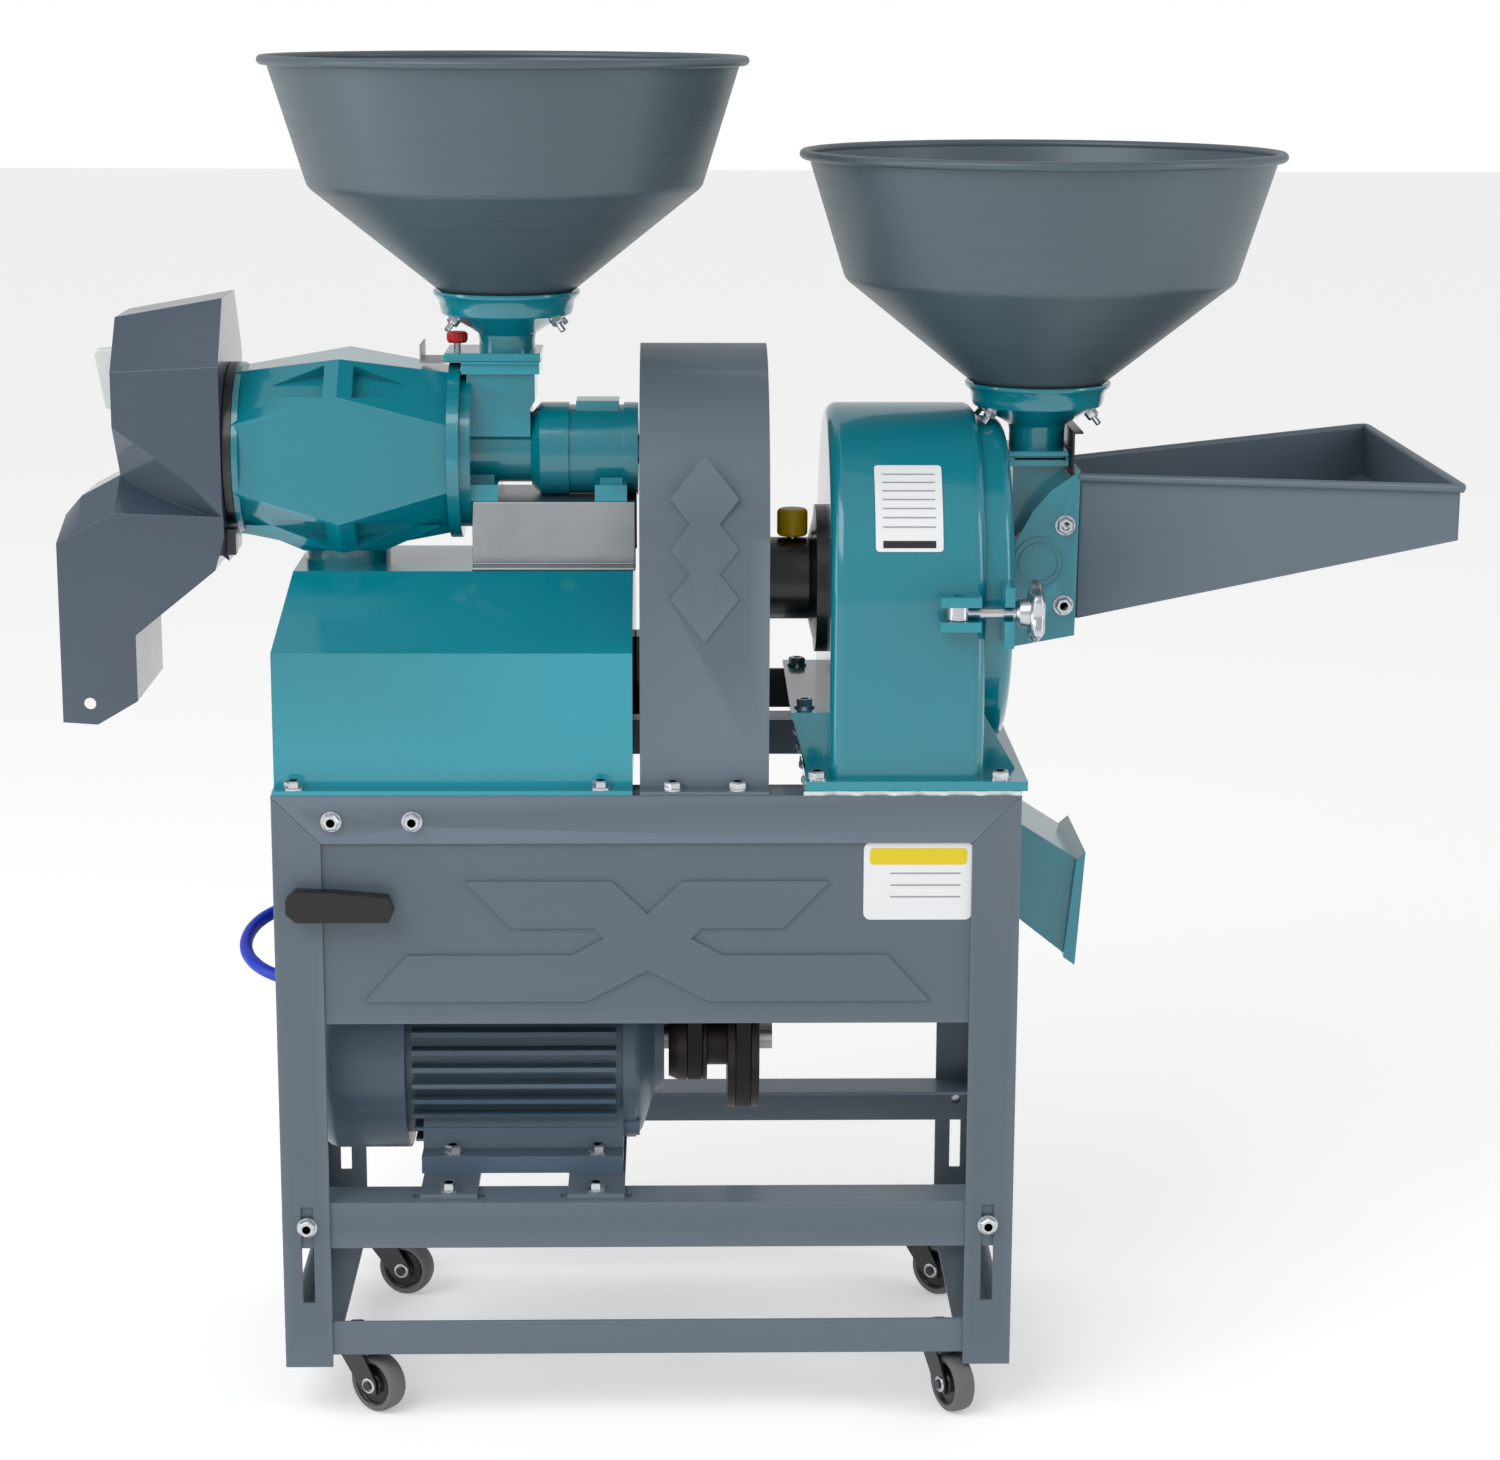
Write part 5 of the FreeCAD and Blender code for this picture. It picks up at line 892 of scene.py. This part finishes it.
def make_mill():
    """Casing, door, pedestal, gasket, clamp and outlet chute."""
    softened("mill_casing", 1.5, 2)
    softened("mill_door", 1.5, 2)
    softened("mill_pedestal", 1.2, 2)
    softened("mill_outlet_chute", 0.6, 2)
    softened("clamp_bolt", 0.8, 2)
    bm = keep_solids(cad_copy("mill_bearing_housing"), lambda m: m.z < 720)
    piece("fine_mill_bearing_housing", bm, "stand", "black_casting", ["black_casting"],
          ("mill_bearing_housing",), 1.2, 2)
    z = MILL_AXIS_Z + 35
    bm = bmesh.new()
    cup = rounded([(0, z + 2), (11.5, z + 2), (13, z + 4), (13, z + 23), (11, z + 25), (0, z + 25)],
                  [0, 1, 1.5, 4, 3, 0], 4)
    lathe(bm, cup, (123.0, 0, 0), steps=56, material=0)
    lathe(bm, [(0, z - 8), (4.6, z - 8), (4.6, z + 2.5), (0, z + 2.5)], (123.0, 0, 0), steps=20, material=1)
    piece("grease_cup", bm, "stand", "black_moulding", ["yellow_cap", "zinc_steel"])
    bm = bmesh.new()
    outer, inner = [], []
    x0, x1, half = 128.0, 308.0, 165.0
    count = 240
    for k in range(count):
        t = 4 * k / count
        side = int(t)
        f = t - side
        a = [(x0, -half), (x1, -half), (x1, half), (x0, half)][side]
        b = [(x1, -half), (x1, half), (x0, half), (x0, -half)][side]
        ia = [(178.0, -58.0), (238.0, -58.0), (238.0, 58.0), (178.0, 58.0)][side]
        ib = [(238.0, -58.0), (238.0, 58.0), (178.0, 58.0), (178.0, -58.0)][side]
        wave = 1.4 * math.sin(0.55 * k) + 0.8 * math.sin(1.31 * k + 1) - 1.6
        nx, ny = [(0, -1), (1, 0), (0, 1), (-1, 0)][side]
        rise = 0.7 * max(0.0, math.sin(0.31 * k))
        outer.append((a[0] + (b[0] - a[0]) * f + nx * wave, a[1] + (b[1] - a[1]) * f + ny * wave, rise))
        inner.append((ia[0] + (ib[0] - ia[0]) * f, ia[1] + (ib[1] - ia[1]) * f))
    loops = []
    for ring_points, z_low, z_high in ((outer, DECK, DECK + 3), (inner, DECK, DECK + 3)):
        loops.append([bm.verts.new((p[0], p[1], z_low)) for p in ring_points])
        loops.append([bm.verts.new((p[0], p[1], z_high)) for p in ring_points])
    for first, second in ((0, 1), (1, 3), (3, 2), (2, 0)):
        for k in range(count):
            j = (k + 1) % count
            bm.faces.new([loops[first][k], loops[first][j], loops[second][j], loops[second][k]])
    piece("fine_mill_gasket", bm, "stand", "white_gasket", ["white_gasket"], ("mill_gasket",))
    low, high = extent("star_handwheel")
    centre = (0, (low.y + high.y) / 2, MILL_AXIS_Z)
    bm = bmesh.new()
    hub = rounded([(4.6, low.x), (8.5, low.x), (11.0, low.x + 3), (12.5, high.x - 12), (12.5, high.x - 3),
                   (4.6, high.x - 2)],
                  [0, 1, 2, 2, 2, 0], 3)
    lathe(bm, hub, centre, "X", steps=48)
    star = rounded([(12.0, high.x - 9.5), (19.5, high.x - 12), (24.5, high.x - 9), (24.5, high.x - 3),
                    (19.5, high.x),
                    (12.0, high.x - 2.5)], [0, 2, 3, 3, 2, 0], 4)
    start = len(bm.verts)
    lathe(bm, star, centre, "X", steps=80)
    bm.verts.ensure_lookup_table()
    for vert in bm.verts[start:]:
        around = math.atan2(vert.co.z - centre[2], vert.co.y - centre[1])
        out = math.hypot(vert.co.z - centre[2], vert.co.y - centre[1])
        grow = 1 + 0.14 * max(0.0, (out - 12) / 12.5) * (math.cos(5 * around) - 0.4)
        vert.co.y = centre[1] + (vert.co.y - centre[1]) * grow
        vert.co.z = centre[2] + (vert.co.z - centre[2]) * grow
    piece("fine_star_handwheel", bm, "handwheel", "zinc_steel", ["zinc_steel"], ("star_handwheel",))


def make_feed():
    """Feed box, flared tray with its rolled rim, and the slide."""
    softened("mill_feed_box", 1.3, 3)
    softened("tray_gate", 0.5, 2)
    softened("mill_gate", 0.4, 2)
    near, far = 362.0, 648.0
    a, b = 49.7, 188.0
    bm = bmesh.new()
    floor = [(near, -a, 671), (near, a, 671), (far, b, 760), (far, -b, 760)]
    plate(bm, floor, -1.5)
    for s in (-1, 1):
        plate(bm, [(near, s * a, 671), (far, s * b, 760), (far, s * b, 803), (near, s * a, 792)], 1.5 * s)
        plate(bm, [(346, s * (a - 1.5), 671), (near, s * (a - 1.5), 671), (near, s * (a - 1.5), 770),
                   (346, s * (a - 1.5), 764)],
              1.5 * s)
    plate(bm, [(far, -b, 760), (far, b, 760), (far, b, 803), (far, -b, 803)], 1.5)
    o = 3.5
    tube(bm, [(near, -a - o, 795 - o), (far - 6, -b - o + 3, 806 - o), (far + o - 1, -b - o + 1, 806 - o),
              (far + o, -b + 4, 806 - o), (far + o, b - 4, 806 - o), (far + o - 1, b + o - 1, 806 - o),
              (far - 6, b + o - 3, 806 - o), (near, a + o, 795 - o)], o, 14)
    piece("fine_feed_tray", bm, "stand", "slate_enamel", ["slate_enamel"], ("feed_tray",), 0.4, 2, 30, 35)


def make_motor():
    """Finned body, shields, fan cover and terminal box."""
    softened("motor_housing", 0.9, 2)
    softened("motor_fan_cover", 1.0, 2)
    softened("terminal_box", 1.6, 3)


def make_small_parts():
    """Latch handle and the three pulleys."""
    softened("latch_handle", 2.6, 4)
    for name in ("motor_pulley", "huller_pulley", "mill_pulley"):
        softened(name, 0.5, 2)


def make_fasteners():
    """Every bolt head and nut on the stand and the machines."""
    up, fore = (0, 0, 1), (0, -1, 0)
    deck_bolts = [(x, s * 155.5, DECK + 4, up) for x in (-289, -38) for s in (-1, 1)]
    deck_bolts += [(x, s * 155.5, DECK + 3, up) for x in (21, 74) for s in (-1, 1)]
    deck_bolts += [(x, s * 152, DECK + 11, up) for x in (139.5, 290) for s in (-1, 1)]
    deck_bolts += [(131, s * 89, 603, up) for s in (-1, 1)]
    deck_bolts += [(x, s * 93, 213, up) for x in (-168, -44) for s in (-1, 1)]
    deck_bolts += [(x, s * 145, 198, up) for x in (-168, -44) for s in (-1, 1)]
    deck_bolts += [(x, s * 165, 173, (0, s, 0)) for x in (-286, 286) for s in (-1, 1)]
    deck_bolts += [(x, -165, 524, fore) for x in (-258, -192)]
    deck_bolts += [(350, s * 53, z, (0, s, 0)) for z in (751, 683) for s in (-1, 1)]
    hex_heads("fine_bolts", deck_bolts, "stand", "zinc_steel", 13.0, 5.6, 17.0, 0.0, ("bolts",))


def make_labels():
    """Blank cards with plain bars, where a machine of this kind carries its plates."""
    bm = bmesh.new()
    mill_side = arched(150.4, MILL_AXIS_Z)
    card(bm, mill_side, 186, 241, 744, 822, corner=3.0, material=0)
    for k in range(7):
        card(bm, mill_side, 192, 235, 812 - 8 * k, 813.2 - 8 * k, lift=0.45, thick=0.3, material=1)
    card(bm, mill_side, 192, 235, 747, 753, lift=0.45, thick=0.3, material=2)
    piece("mill_card", bm, "stand", "white_gasket", ["white_card", "grey_ink", "dark_ink"], smooth=30)
    bm = bmesh.new()
    panel = flat_front(-162.0)
    card(bm, panel, 178, 268, 439, 505, corner=6.0, material=0)
    card(bm, panel, 183, 263, 486, 500, lift=0.45, thick=0.3, corner=3.0, material=1)
    for k in range(3):
        card(bm, panel, 200, 258, 478 - 10 * k, 479.2 - 10 * k, lift=0.45, thick=0.3, material=2)
    piece("panel_card", bm, "stand", "white_gasket", ["white_card", "yellow_ink", "grey_ink"], smooth=30)


def make_carried():
    """Gives every CAD node that is still showing the finish of its slot."""
    for name, cad in frame["nodes"].items():
        cad.data.materials.clear()
        cad.data.materials.append(MATERIALS[SLOT_OF[name]])


# ---------------------------------------------------------------- operators
class HULLER_OT_finishes(bpy.types.Operator):
    """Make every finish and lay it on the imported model"""
    bl_idname = "huller.finishes"
    bl_label = "Finishes"

    def execute(self, context):
        make_materials(context.scene.huller_finish)
        make_carried()
        return {"FINISHED"}


class HULLER_OT_stage(bpy.types.Operator):
    """Set up the camera, floor and lamps"""
    bl_idname = "huller.stage"
    bl_label = "Stage"

    def execute(self, context):
        make_stage(context.scene.huller_stage)
        return {"FINISHED"}


class HULLER_OT_lead(bpy.types.Operator):
    """Make the motor lead"""
    bl_idname = "huller.lead"
    bl_label = "Motor lead"

    def execute(self, context):
        make_lead(context.scene.huller_shape)
        return {"FINISHED"}


class HULLER_OT_stand(bpy.types.Operator):
    """Make the stand of angle iron and its pressed panel"""
    bl_idname = "huller.stand"
    bl_label = "Stand"

    def execute(self, context):
        make_stand()
        return {"FINISHED"}


class HULLER_OT_casters(bpy.types.Operator):
    """Make the four casters"""
    bl_idname = "huller.casters"
    bl_label = "Casters"

    def execute(self, context):
        make_casters()
        return {"FINISHED"}


class HULLER_OT_hoppers(bpy.types.Operator):
    """Make both hoppers and their necks"""
    bl_idname = "huller.hoppers"
    bl_label = "Hoppers"

    def execute(self, context):
        make_hoppers(context.scene.huller_shape)
        return {"FINISHED"}


class HULLER_OT_huller(bpy.types.Operator):
    """Make the huller with its box and slide"""
    bl_idname = "huller.huller"
    bl_label = "Huller"

    def execute(self, context):
        make_huller()
        return {"FINISHED"}


class HULLER_OT_hood(bpy.types.Operator):
    """Make the discharge hood and its knob"""
    bl_idname = "huller.hood"
    bl_label = "Discharge hood"

    def execute(self, context):
        make_hood()
        return {"FINISHED"}


class HULLER_OT_guard(bpy.types.Operator):
    """Make the belt guard"""
    bl_idname = "huller.guard"
    bl_label = "Belt guard"

    def execute(self, context):
        make_guard()
        return {"FINISHED"}


class HULLER_OT_mill(bpy.types.Operator):
    """Make the disc mill with its clamp and chute"""
    bl_idname = "huller.mill"
    bl_label = "Disc mill"

    def execute(self, context):
        make_mill()
        return {"FINISHED"}


class HULLER_OT_feed(bpy.types.Operator):
    """Make the feed box, tray and slide"""
    bl_idname = "huller.feed"
    bl_label = "Feed tray"

    def execute(self, context):
        make_feed()
        return {"FINISHED"}


class HULLER_OT_motor(bpy.types.Operator):
    """Make the motor"""
    bl_idname = "huller.motor"
    bl_label = "Motor"

    def execute(self, context):
        make_motor()
        return {"FINISHED"}


class HULLER_OT_small_parts(bpy.types.Operator):
    """Make the latch and the pulleys"""
    bl_idname = "huller.small_parts"
    bl_label = "Latch and pulleys"

    def execute(self, context):
        make_small_parts()
        return {"FINISHED"}


class HULLER_OT_fasteners(bpy.types.Operator):
    """Make the bolts and nuts"""
    bl_idname = "huller.fasteners"
    bl_label = "Bolts and nuts"

    def execute(self, context):
        make_fasteners()
        return {"FINISHED"}


class HULLER_OT_labels(bpy.types.Operator):
    """Make the blank cards and plates"""
    bl_idname = "huller.labels"
    bl_label = "Cards and plates"

    def execute(self, context):
        make_labels()
        return {"FINISHED"}


STEPS = (HULLER_OT_finishes, HULLER_OT_stage, HULLER_OT_lead, HULLER_OT_stand, HULLER_OT_casters,
         HULLER_OT_hoppers,
         HULLER_OT_huller, HULLER_OT_hood, HULLER_OT_guard, HULLER_OT_mill, HULLER_OT_feed, HULLER_OT_motor,
         HULLER_OT_small_parts, HULLER_OT_fasteners, HULLER_OT_labels)


class HULLER_PT_panel(bpy.types.Panel):
    """Buttons for every piece of the machine"""
    bl_idname = "HULLER_PT_panel"
    bl_label = "Rice huller"
    bl_space_type = "VIEW_3D"
    bl_region_type = "UI"
    bl_category = "Rice huller"

    def draw(self, context):
        for step in STEPS:
            self.layout.operator(step.bl_idname)
        for group in (context.scene.huller_stage, context.scene.huller_finish, context.scene.huller_shape):
            for key in group.bl_rna.properties.keys():
                if key not in ("rna_type", "name"):
                    self.layout.prop(group, key)


CLASSES = (StageSettings, FinishSettings, ShapeSettings, *STEPS, HULLER_PT_panel)


def register():
    for item in CLASSES:
        bpy.utils.register_class(item)
    bpy.types.Scene.huller_stage = PointerProperty(type=StageSettings)
    bpy.types.Scene.huller_finish = PointerProperty(type=FinishSettings)
    bpy.types.Scene.huller_shape = PointerProperty(type=ShapeSettings)


def unregister():
    del bpy.types.Scene.huller_shape
    del bpy.types.Scene.huller_finish
    del bpy.types.Scene.huller_stage
    for item in reversed(CLASSES):
        bpy.utils.unregister_class(item)


def main():
    """Makes the whole machine, one operator after another, and works out its size."""
    register()
    bpy.ops.huller.finishes()
    bpy.ops.huller.stage()
    bpy.ops.huller.lead()
    bpy.ops.huller.stand()
    bpy.ops.huller.casters()
    bpy.ops.huller.hoppers()
    bpy.ops.huller.huller()
    bpy.ops.huller.hood()
    bpy.ops.huller.guard()
    bpy.ops.huller.mill()
    bpy.ops.huller.feed()
    bpy.ops.huller.motor()
    bpy.ops.huller.small_parts()
    bpy.ops.huller.fasteners()
    bpy.ops.huller.labels()
    bounds = [[list(corner) for corner in box] for box in (cad_bounds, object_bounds())]


if __name__ == "__main__":
    main()
